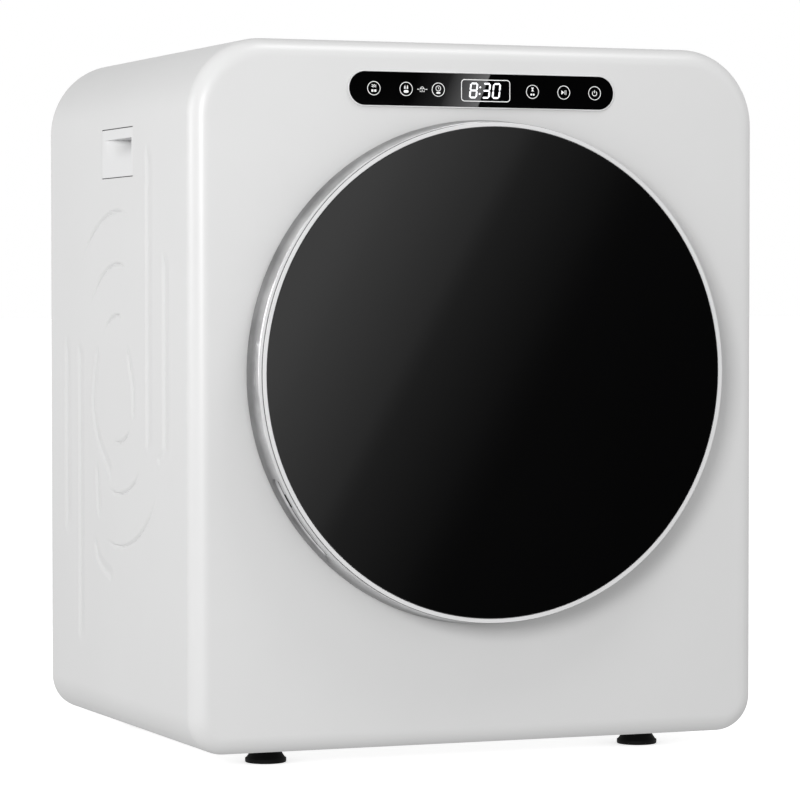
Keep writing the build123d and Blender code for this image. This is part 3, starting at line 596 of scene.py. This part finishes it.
door = {
    "glassEdge": 0.5 * mm, "glassRings": (0.0, 0.35, 0.7), "glassRim": 3 * mm, "glassGap": 0.15 * mm,
    # the trim's inner lip and outer chamfer, each as (across, deep), and the dark line outside it, a painted
    # shade in the corner groove
    "lip": (0.4 * mm, 0.5 * mm), "chamfer": (0.3 * mm, 0.2 * mm), "lineWide": 0.55 * mm, "lineDeep": 1.4 * mm,
    "lineTop": 0.35 * mm, "lineIn": 0.15 * mm, "groove": 2.1 * mm,
    # the band round the door's side
    "proud": 0.7 * mm, "sideRound": 1.1 * mm, "rearRound": 0.6 * mm, "wall": 2.5 * mm, "bandStep": 0.8 * mm,
    "turns": (1.25, 0.2),
    # the finger scoop: its span in degrees, then its depth, place and soft edges
    "grip": (204.0, 229.0), "gripMargin": 0.9, "gripDeep": 6.5 * mm, "gripFront": 14.5 * mm,
    "gripLong": 13.5 * mm, "gripSoft": 1.6 * mm, "gripEase": 34 * mm,
    "slots": [(204.5, 225.0, -0.9 * mm, 0.1 * mm), (207.8, 211.2, -3.0 * mm, 0.3 * mm)],
    "slotLifts": (-0.3 * mm, 0.03 * mm),
    # two fine grooves at the far left
    "dent": (172.0, 194.0), "dentDeep": 0.9 * mm, "dentLines": (3.0 * mm, 6.6 * mm), "dentHalf": 0.6 * mm,
    "dentFade": 1.5,
    # room for the hinge
    "pocketHalf": 39 * mm, "pocketFront": 4.7 * mm, "pocketIn": 17.0 * mm, "pocketPast": (9 * mm, 2 * mm),
    # painted shade on the band, paler at the front and darker towards the rear, and painted light inside the
    # scoop
    "fade": 15 * mm, "wallPaintedShade": (1.36, 0.56), "scoopPaintedLight": 1.8, "scoopPaintedLightRim": (1.6 * mm, 0.4 * mm),
}
bandFront = bezelHigh.x + door["proud"]
bandRear = (ringHigh.z - ringLow.z) / 2
scoopEdge = glassLow.y + door["gripFront"]


# radius of the band, which flares from its front to its rear
def flared(y):
    return bandFront + (bandRear - bandFront) * (y - ringLow.y) / (ringHigh.y - ringLow.y)


def buildGlass():
    r = glassHigh.x
    y0, y1, e = glassLow.y, glassHigh.y, door["glassEdge"]
    profile = [(r * share, y0) for share in door["glassRings"]] + [(r - door["glassRim"], y0)]
    profile += [(r - e, y0), (r, y0 + e), (r, y1), (0.0, y1)]
    pane = latheY("doorPane", profile, doorCentre, closed=False)
    return settle(pane, "door", blackGlass("glass_black"), ["door_glass"])


def buildBezel():
    r, y0, y1 = bezelHigh.x, bezelLow.y, bezelHigh.y
    inner, outer = glassHigh.x + door["glassGap"], r - door["lineWide"]
    groove = y0 + door["groove"]
    lipIn, lipDeep = door["lip"]
    cutIn, cutDeep = door["chamfer"]
    profile = [(inner, y1), (inner, y0 + lipDeep), (inner + lipIn, y0), (outer - cutIn, y0),
               (outer, y0 + cutDeep), (outer, groove), (r, groove), (r, y1)]
    trim = latheY("doorTrim", profile, doorCentre)
    half, past = door["pocketHalf"], door["pocketPast"][0]
    low = (r - door["pocketIn"], glassLow.y + door["pocketFront"], doorZ - half)
    cutBox(trim, low, (r + past, y1 + past, doorZ + half))
    settle(trim, "door", finishes["ring_silver"], ["door_bezel"])
    # painted shade: a dark ring fills the groove at the trim's outer corner
    edge = r - door["lineIn"]
    profile = [(outer, y0 + door["lineTop"]), (edge, y0 + door["lineDeep"]), (edge, groove), (outer, groove)]
    settle(latheY("doorTrimGrooveShade", profile, doorCentre), "door", finishes["seam_dark"])


def buildSideRing():
    y0, y1 = ringLow.y, ringHigh.y
    e, soft = door["sideRound"], door["rearRound"]
    outer = arc(bandFront - e, y0 + e, e, -90, 0, 6)
    outer += [(flared(y), y) for y in steps(y0 + e, y1 - soft, door["bandStep"])[1:]]
    outer += [(bandRear - soft / 2, y1 - soft / 4), (bandRear - soft, y1)]
    profile = outer + [(bandFront - door["wall"], y1), (bandFront - door["wall"], y0)]
    start, end = door["grip"]
    coarse, fine = door["turns"]
    turns = steps(0.0, start - 1, coarse) + steps(start - 1, end + 1, fine)[1:]
    turns += steps(end + 1, 360.0, coarse)[1:-1]
    centreTurn = (start + end) / 2
    halfRun = math.radians(end - start) / 2 * bandFront
    halfY = door["gripLong"] / 2
    middleY = scoopEdge + halfY

    def dip(turn, y):
        run = math.radians(turn - centreTurn) * bandFront
        past = max(0.0, abs(run) - (halfRun - halfY))
        inside = halfY - math.hypot(past, y - middleY)
        share = max(0.0, min(1.0, inside / door["gripSoft"]))
        ease = max(0.0, min(1.0, (halfRun - run) / door["gripEase"]))
        return door["gripDeep"] * share * share * (3 - 2 * share) * ease * ease * (3 - 2 * ease)

    def dent(turn, y):
        first, last = door["dent"]
        if not first < turn < last:
            return 0.0
        gap = min(abs(y - y0 - line) for line in door["dentLines"])
        fade = min(1.0, (turn - first) / door["dentFade"], (last - turn) / door["dentFade"])
        return fade * door["dentDeep"] if gap < door["dentHalf"] else 0.0

    points, faces = [], []
    rows = len(profile)
    margin = door["gripMargin"]
    for turn in turns:
        t = math.radians(turn)
        for k, (radius, y) in enumerate(profile):
            if k < len(outer):
                radius -= dip(turn, y) + dent(turn, y)
            elif start - margin < turn < end + margin:
                radius -= door["gripDeep"]
            points.append((radius * math.cos(t), y, doorZ + radius * math.sin(t)))
    for i in range(len(turns)):
        n = (i + 1) % len(turns)
        for k in range(rows):
            m = (k + 1) % rows
            faces.append((i * rows + k, i * rows + m, n * rows + m, n * rows + k))
    band = addMesh("doorBand", points, faces, 35.0)
    half = door["pocketHalf"]
    pastX, pastY = door["pocketPast"]
    low = (bezelHigh.x - door["pocketIn"], glassHigh.y, doorZ - half)
    cutBox(band, low, (bandRear + pastX, y1 + pastY, doorZ + half))
    return settle(band, "door", paintedShadeWall(), ["door_side_ring"])


# painted shade: a thin dark strip along the scoop's front edge, where the slot's shade falls, with a short
# wider catch in it
def buildScoopSlotShade():
    sunk, proud = door["slotLifts"]
    points, faces = [], []
    for start, end, y0, y1 in door["slots"]:
        first = len(points)
        turns = steps(start, end, 0.5)
        for turn in turns:
            t = math.radians(turn)
            for lift, deep in ((sunk, y0), (proud, y0), (proud, y1), (sunk, y1)):
                y = scoopEdge + deep
                r = flared(y) + lift
                points.append((r * math.cos(t), y, doorZ + r * math.sin(t)))
        for k in range(len(turns) - 1):
            faces += stripFaces(first + 4 * k, first + 4 * k + 4, 4)
        last = first + 4 * (len(turns) - 1)
        faces += [(first, first + 1, first + 2, first + 3), (last, last + 1, last + 2, last + 3)]
    settle(addMesh("doorScoopSlotShade", points, faces, 20.0), "door", finishes["foot_black"])


# polished wall of the door with painted shade and reflection: paler at the front and darker towards the
# cabinet
def paintedShadeWall():
    material = finish("ring_wall_painted_shade", looks["ring_grey"])
    tree = material.node_tree
    ramp = nodeOf(tree, "VALTORGB")
    place = nodeOf(tree, "TEX_COORD")
    apart = tree.nodes.new("ShaderNodeSeparateXYZ")
    tree.links.new(place.outputs["Object"], apart.inputs["Vector"])
    fade = mapRange(tree, ringLow.y, ringLow.y + door["fade"], *door["wallPaintedShade"])
    tree.links.new(apart.outputs["Y"], fade.inputs["Value"])
    shadedColour = tree.nodes.new("ShaderNodeVectorMath")
    shadedColour.operation = "SCALE"
    tree.links.new(ramp.outputs["Color"], shadedColour.inputs[0])
    # painted light: inside the finger scoop the wall turns pale again, lifting the scoop's shade
    level = tree.nodes.new("ShaderNodeVectorMath")
    level.operation = "MULTIPLY_ADD"
    level.inputs[1].default_value = (1, 0, 1)
    level.inputs[2].default_value = (0, 0, -doorZ)
    tree.links.new(place.outputs["Object"], level.inputs[0])
    away = tree.nodes.new("ShaderNodeVectorMath")
    away.operation = "LENGTH"
    tree.links.new(level.outputs["Vector"], away.inputs[0])
    deep, shallow = door["scoopPaintedLightRim"]
    inside = mapRange(tree, bandFront - deep, bandFront - shallow, 1.0, 0.0)
    tree.links.new(away.outputs["Value"], inside.inputs["Value"])
    choose = tree.nodes.new("ShaderNodeMix")
    tree.links.new(inside.outputs["Result"], choose.inputs["Factor"])
    tree.links.new(fade.outputs["Result"], choose.inputs["A"])
    choose.inputs["B"].default_value = door["scoopPaintedLight"]
    tree.links.new(choose.outputs["Result"], shadedColour.inputs["Scale"])
    tree.links.new(shadedColour.outputs["Vector"], nodeOf(tree, "BSDF_PRINCIPLED").inputs["Base Color"])
    return material


buildGlass()
buildBezel()
buildSideRing()
buildScoopSlotShade()
print("stage 3: door")

# the control strip, whose print is drawn in millimetres about its middle

strip = {
    "rings": [-114.7, -81.1, -47.4, 52.7, 86.4, 119.9], "ringRadius": 6.8, "ringLine": 0.62, "lock": -64.3,
    "frame": (-22.9, 28.4, 10.4, 0.8, 3.2),
    "digits": {"left": -14.4, "tall": 15.4, "wide": 8.6, "bar": 1.75, "gap": 0.3, "lean": 0.11},
    "places": (0.0, 13.4, 24.2), "dots": (11.0, 3.2, 0.95),
    # the rim's section as (inset in millimetres, depth behind its front)
    "rim": [(1.3, 0.9 * mm), (1.25, 0.1 * mm), (1.05, 0.0), (0.45, 0.0), (0.12, 0.25 * mm), (0.0, 0.7 * mm)],
    # the sheen is a painted reflection: a grey wash in the glass's colour that rises to a slanting edge
    "sheen": {"start": -75 * mm, "end": 1.5 * mm, "slant": 0.42,
              "stops": [(0.0, (0.0012, 0.0012, 0.0013)), (0.45, (0.012, 0.012, 0.0123)),
                        (0.985, (0.115, 0.115, 0.117)), (1.0, (0.0012, 0.0012, 0.0013))]},
}
printY = stripLow.y - 0.06 * mm


def buildStrip():
    loop = stadiumLoop(0.0, stripZ, stripHigh.x - stripLow.x, stripHigh.z - stripLow.z)
    pane = plate("stripPane", loop, stripLow.y, stripHigh.y)
    settle(pane, "cabinet", blackGlass("strip_black_painted_reflection", strip["sheen"]), ["control_glass"])
    rimLong, rimTall = rimHigh.x - rimLow.x, rimHigh.z - rimLow.z
    profile = [(inset, rimLow.y + deep) for inset, deep in strip["rim"]]
    profile += [(profile[-1][0], frontY), (profile[0][0], frontY)]
    points, faces = [], []
    width = 0
    for inset, y in profile:
        loop = stadiumLoop(0.0, stripZ, rimLong - 2 * inset * mm, rimTall - 2 * inset * mm)
        width = len(loop)
        points += [(x, y, z) for x, z in loop]
    for k in range(len(profile)):
        faces += stripFaces(k * width, ((k + 1) % len(profile)) * width, width)
    rim = addMesh("stripRim", points, faces, 30.0)
    settle(rim, "cabinet", finishes["ring_silver"], ["control_bezel"])


# points and faces of a flat line of even width along a path of (x, z) in millimetres
def ribbon(path, width, closed=False):
    count = len(path)
    points, faces = [], []
    for k in range(count):
        before = path[k - 1] if (k or closed) else path[k]
        after = path[(k + 1) % count] if (k < count - 1 or closed) else path[k]
        dx, dz = after[0] - before[0], after[1] - before[1]
        size = math.hypot(dx, dz) or 1.0
        nx, nz = -dz / size * width / 2, dx / size * width / 2
        points += [(path[k][0] + nx, path[k][1] + nz), (path[k][0] - nx, path[k][1] - nz)]
    for k in range(count if closed else count - 1):
        n = (k + 1) % count
        faces.append((2 * k, 2 * k + 1, 2 * n + 1, 2 * n))
    return points, faces


def blob(loop):
    return list(loop), [tuple(range(len(loop)))]


def tile(x, z, wide, tall):
    x0, x1, z0, z1 = x - wide / 2, x + wide / 2, z - tall / 2, z + tall / 2
    return [(x0, z0), (x1, z0), (x1, z1), (x0, z1)]


# lays flat shapes, in millimetres about the strip's middle, on the glass
def printed(name, shapes, material):
    points, faces = [], []
    for flat, facets in shapes:
        start = len(points)
        points += [(x * mm, printY, stripZ + z * mm) for x, z in flat]
        faces += [tuple(start + i for i in facet) for facet in facets]
    mesh = bpy.data.meshes.new(name)
    mesh.from_pydata(points, [], faces)
    obj = bpy.data.objects.new(name, mesh)
    bpy.context.scene.collection.objects.link(obj)
    return settle(obj, "cabinet", material)


def circleLine(x, z, radius, width, start=0.0, end=360.0):
    if end - start >= 360:
        return ribbon(circleLoop(x, z, radius, 64), width, True)
    return ribbon(arc(x, z, radius, start, end, 40), width)


# the six ringed touch symbols and the lock mark
def symbols():
    x1, x2, x3, x4, x5, x6 = strip["rings"]
    shapes = [circleLine(x, 0, strip["ringRadius"] - strip["ringLine"] / 2, strip["ringLine"])
              for x in strip["rings"]]
    for row in (3.0, 1.5):  # programme: two waves over a pair of bars
        wave = [(x1 - 2.4 + 0.3 * k, row + 0.5 * math.sin(k * 0.8)) for k in range(17)]
        shapes.append(ribbon(wave, 0.55))
    for dx in (-1.5, 1.5):
        shapes.append(blob(tile(x1 + dx, -2.3, 2.2, 2.2)))
    for dx in (-1.3, 1.3):  # heat: two rising flames over a bar
        shapes.append(blob([(x2 + dx - 0.9, 0.2), (x2 + dx + 0.9, 0.2), (x2 + dx + 0.6, 2.2), (x2 + dx, 3.9),
                            (x2 + dx - 0.7, 2.0)]))
    shapes.append(blob(stadiumLoop(x2, -2.4, 5.0, 2.6, 10)))
    shapes.append(circleLine(x3, 1.2, 2.5, 0.6))  # time: a clock over a bar
    shapes.append(ribbon([(x3, 2.6), (x3, 1.2), (x3 + 1.1, 0.6)], 0.5))
    shapes.append(blob(stadiumLoop(x3, -3.1, 4.4, 1.8, 10)))
    shapes.append(blob([(x4 - 1.5, 4.1), (x4 + 1.5, 4.1), (x4 + 0.4, 2.2), (x4 + 1.5, 0.4), (x4 - 1.5, 0.4),
                        (x4 - 0.4, 2.2)]))  # delay: an hourglass over two dots
    for dx in (-1.3, 1.3):
        shapes.append(blob(circleLoop(x4 + dx, -2.7, 1.05, 20)))
    shapes.append(blob([(x5 - 2.5, -2.2), (x5 + 0.3, 0.0), (x5 - 2.5, 2.2)]))  # start and pause
    for dx in (1.2, 2.5):
        shapes.append(ribbon([(x5 + dx, -2.2), (x5 + dx, 2.2)], 0.5))
    shapes.append(circleLine(x6, -0.2, 2.4, 0.65, 125, 415))  # power
    shapes.append(ribbon([(x6, 0.2), (x6, 3.0)], 0.65))
    lockX = strip["lock"]
    for a, b in ((-5.4, -3.1), (3.1, 5.4)):
        shapes.append(ribbon([(lockX + a, 0), (lockX + b, 0)], 0.6))
    shapes.append(ribbon(tile(lockX, -0.8, 4.6, 3.0), 0.5, True))
    shapes.append(circleLine(lockX, 0.9, 1.5, 0.5, 0, 180))
    shapes.append(blob(circleLoop(lockX, -0.8, 0.55, 16)))
    return shapes


def segment(x, z, length, width, upright):
    h, half = width / 2, length / 2
    loop = [(-half + h, h), (-half, 0), (-half + h, -h), (half - h, -h), (half, 0), (half - h, h)]
    if upright:
        loop = [(-h, -half + h), (0, -half), (h, -half + h), (h, half - h), (0, half), (-h, half - h)]
    return [(x + a, z + b) for a, b in loop]


# loops of one seven-bar digit whose lower left corner is at x
def digitLoops(x, lit):
    look = strip["digits"]
    bar, gap = look["bar"], look["gap"]
    high = (look["tall"] - bar) / 2
    a, b = x + bar / 2, x + look["wide"] - bar / 2
    across, upward = b - a - gap, high - gap
    bars = {
        "top": segment((a + b) / 2, high, across, bar, False),
        "mid": segment((a + b) / 2, 0, across, bar, False),
        "low": segment((a + b) / 2, -high, across, bar, False),
        "upLeft": segment(a, high / 2, upward, bar, True),
        "upRight": segment(b, high / 2, upward, bar, True),
        "lowLeft": segment(a, -high / 2, upward, bar, True),
        "lowRight": segment(b, -high / 2, upward, bar, True),
    }
    return [bars[key] for key in lit]


def readout():
    left, lean = strip["digits"]["left"], strip["digits"]["lean"]
    digits = [("top", "mid", "low", "upLeft", "upRight", "lowLeft", "lowRight"),
              ("top", "mid", "low", "upRight", "lowRight"),
              ("top", "low", "upLeft", "upRight", "lowLeft", "lowRight")]
    loops = []
    for offset, lit in zip(strip["places"], digits):
        loops += digitLoops(left + offset, lit)
    offset, height, radius = strip["dots"]
    loops += [circleLoop(left + offset, z, radius, 20) for z in (-height, height)]
    return [blob([(x + lean * z, z) for x, z in loop]) for loop in loops]


def roundedLine(x0, x1, half, width, corner):
    left, right, up = x0 + corner, x1 - corner, half - corner
    loop = []
    for x, z, start in ((right, up, 0), (left, up, 90), (left, -up, 180), (right, -up, 270)):
        loop += arc(x, z, corner, start, start + 90, 10)
    return ribbon(loop, width, True)


buildStrip()
whitePrint = litPrint("print_white", (0.80, 0.80, 0.80), 0.0)
printed("stripSymbols", symbols(), whitePrint)
printed("stripWindow", [roundedLine(*strip["frame"])], whitePrint)
printed("stripReadout", readout(), litPrint("readout_white", (0.95, 0.96, 1.0), 0.35))
print("stage 4: control strip")

# the feet

foot = {
    "pad": 20.25 * mm, "wall": 4.6 * mm, "round": 1.4 * mm, "edge": 0.6 * mm, "neck": 13.3 * mm,
    "stem": 5 * mm,
    "slope": [(1.4 * mm, 0.6 * mm), (3.4 * mm, 3.4 * mm)],  # (in from the pad's edge, above its wall)
    "neckGap": 0.4 * mm, "neckEdge": (0.6 * mm, 1.2 * mm),
}


def buildFoot(node):
    low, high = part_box(node)
    centre = ((low.x + high.x) / 2, (low.y + high.y) / 2)
    r, e, soft, neck, stem = (foot[key] for key in ("pad", "round", "edge", "neck", "stem"))
    top = low.z + foot["wall"]
    neckTop = baseZ - foot["neckGap"]
    neckIn, neckDown = foot["neckEdge"]
    profile = [(0.0, low.z), (r - e, low.z)] + arc(r - e, low.z + e, e, -80, 0, 6)
    profile += arc(r - soft, top - soft, soft, 0, 80, 4)
    profile += [(r - inward, top + up) for inward, up in foot["slope"]]
    profile += [(neck, neckTop - neckDown), (neck - neckIn, neckTop), (stem, neckTop), (stem, high.z),
                (0.0, high.z)]
    obj = latheZ(node + "_pad", profile, centre)
    return settle(obj, node, finishes["foot_black"], [node])


for corner in ("foot_front_left", "foot_front_right", "foot_rear_left", "foot_rear_right"):
    buildFoot(corner)
print("stage 5: feet")

# every CAD piece still shown takes its slot's finish

slots = {part["node"]: part["material_slot"] for part in frame["record"]["subparts"]}
for node, obj in nodes.items():
    if obj.hide_render:
        continue
    obj.data.materials.clear()
    obj.data.materials.append(finishes[slots[node]])
print("stage 6: inner pieces finished")

# floor, light and camera

studio = {
    "floorSize": 160.0, "floorColour": (0.90, 0.90, 0.90), "floorGlow": 0.6, "aim": (0, 0, 0.36),
    # grey of the sky by height: white at the horizon, greyer overhead and underneath
    "sky": [(-1.0, 0.70), (-0.16, 0.74), (-0.03, 1.0), (0.15, 1.0), (0.45, 0.50), (1.0, 0.45)],
    "key": {"place": (-1.5, -2.3, 0.95), "power": 38, "size": 0.8},
    "side": {"place": (-2.3, 0.1, 0.9), "power": 13, "size": 0.8},
    "fill": {"place": (0.7, -1.1, 2.7), "power": 22, "size": 0.9},
    # grey of the card that the door glass mirrors, from its dark corner to its bright one
    "card": {"middle": (1.584, 0.301), "span": 0.505, "top": 0.827, "soft": 0.012, "depth": -3.9,
             "across": (0.4, 3.2), "up": (-1.2, 1.6), "lean": (-0.8 / 1.7, 0.45 / 1.7), "level": 0.5,
             "greys": [(0.0, 0.012), (0.38, 0.025), (0.48, 0.06), (0.665, 0.21), (0.71, 0.32), (0.90, 0.68),
                       (1.0, 0.85)]},
}


def cardMaterial():
    look = studio["card"]
    grey = bpy.data.materials.new("card_grey")
    grey.use_nodes = True
    tree = grey.node_tree
    tree.nodes.clear()
    out = tree.nodes.new("ShaderNodeOutputMaterial")
    glow = tree.nodes.new("ShaderNodeEmission")
    place = tree.nodes.new("ShaderNodeTexCoord")
    apart = tree.nodes.new("ShaderNodeSeparateXYZ")
    tree.links.new(place.outputs["Object"], apart.inputs["Vector"])
    ranges = []
    for source, middle in zip("XZ", look["middle"]):
        ranges.append(mapRange(tree, middle - look["span"], middle + look["span"], -1.0, 1.0, clamp=False))
        tree.links.new(apart.outputs[source], ranges[-1].inputs["Value"])
    across, up = ranges
    first = tree.nodes.new("ShaderNodeMath")
    first.operation = "MULTIPLY_ADD"
    first.inputs[1].default_value = look["lean"][0]
    first.inputs[2].default_value = look["level"]
    tree.links.new(across.outputs["Result"], first.inputs[0])
    second = tree.nodes.new("ShaderNodeMath")
    second.operation = "MULTIPLY_ADD"
    second.inputs[1].default_value = look["lean"][1]
    tree.links.new(up.outputs["Result"], second.inputs[0])
    tree.links.new(first.outputs["Value"], second.inputs[2])
    ramp = tree.nodes.new("ShaderNodeValToRGB")
    ramp.color_ramp.interpolation = "B_SPLINE"
    setStops(ramp.color_ramp, look["greys"])
    tree.links.new(second.outputs["Value"], ramp.inputs["Fac"])
    top, soft = look["top"], look["soft"]
    above = mapRange(tree, top - soft, top + soft, 1.0, 0.0)  # dark above the door, where the strip looks
    tree.links.new(apart.outputs["Z"], above.inputs["Value"])
    tree.links.new(ramp.outputs["Color"], glow.inputs["Color"])
    tree.links.new(above.outputs["Result"], glow.inputs["Strength"])
    tree.links.new(glow.outputs["Emission"], out.inputs["Surface"])
    return grey


def buildStudio():
    size = studio["floorSize"] / 2
    floor = addMesh("studioFloor", [(-size, -size, 0), (size, -size, 0), (size, size, 0), (-size, size, 0)],
                    [(0, 1, 2, 3)])
    pale = finish("floor_pale", {"base": studio["floorColour"], "shift": 0.004, "rough": 0.9, "broad": 2.0,
                                 "fine": 120.0, "bump": 0.02})
    lit = nodeOf(pale.node_tree, "BSDF_PRINCIPLED")
    lit.inputs["Emission Color"].default_value = (1, 1, 1, 1)
    lit.inputs["Emission Strength"].default_value = studio["floorGlow"]
    floor.data.materials.append(pale)
    floor.visible_glossy = False
    floor.visible_diffuse = False
    (x0, x1), (z0, z1), y = (studio["card"][key] for key in ("across", "up", "depth"))
    card = addMesh("glossCard", [(x0, y, z0), (x1, y, z0), (x1, y, z1), (x0, y, z1)], [(0, 1, 2, 3)])
    card.data.materials.append(cardMaterial())
    card.visible_camera = False
    card.visible_diffuse = False
    card.visible_shadow = False
    card.visible_transmission = False
    for name in ("key", "side", "fill"):
        lampLook = studio[name]
        data = bpy.data.lights.new(name, "AREA")
        data.energy = lampLook["power"]
        data.size = lampLook["size"]
        lamp = bpy.data.objects.new(name, data)
        lamp.location = lampLook["place"]
        aim = Vector(studio["aim"]) - Vector(lampLook["place"])
        lamp.rotation_euler = aim.to_track_quat("-Z", "Y").to_euler()
        bpy.context.scene.collection.objects.link(lamp)
    scene = bpy.context.scene
    scene.view_settings.view_transform = "Standard"
    scene.world = scene.world or bpy.data.worlds.new("studio")
    scene.world.use_nodes = True
    tree = scene.world.node_tree
    sky = tree.nodes.get("Background")
    place = tree.nodes.new("ShaderNodeTexCoord")
    apart = tree.nodes.new("ShaderNodeSeparateXYZ")
    reach = mapRange(tree, -1.0, 1.0)
    climb = tree.nodes.new("ShaderNodeValToRGB")
    setStops(climb.color_ramp, [((height + 1) / 2, grey) for height, grey in studio["sky"]])
    tree.links.new(place.outputs["Generated"], apart.inputs["Vector"])
    tree.links.new(apart.outputs["Z"], reach.inputs["Value"])
    tree.links.new(reach.outputs["Result"], climb.inputs["Fac"])
    tree.links.new(climb.outputs["Color"], sky.inputs["Color"])
    sky.inputs["Strength"].default_value = 1.0


view = {
    "lens": 164.2, "sensor": 36.0, "shift": 0.0112, "far": 400.0,
    "right": (0.92685, -0.37543, -0.00035), "up": (0.01153, 0.02753, 0.99955),
    "forward": (0.37525, 0.92644, -0.02984),
    "spot": (-1.4146, -3.2775, 0.4354),  # from the foot of the cabinet's front face
}


def buildCamera():
    lens = bpy.data.cameras.new("studioCamera")
    lens.lens = view["lens"]
    lens.sensor_width = view["sensor"]
    lens.shift_y = view["shift"]
    lens.clip_end = view["far"]
    eye = bpy.data.objects.new("studioCamera", lens)
    axes = Matrix((view["right"], view["up"], -Vector(view["forward"])))
    spot = Vector(view["spot"]) + Vector((0, frontY, baseZ))
    eye.matrix_world = Matrix.Translation(spot) @ axes.transposed().to_4x4()
    bpy.context.scene.collection.objects.link(eye)
    bpy.context.scene.camera = eye


buildStudio()
buildCamera()
print("stage 7: studio")
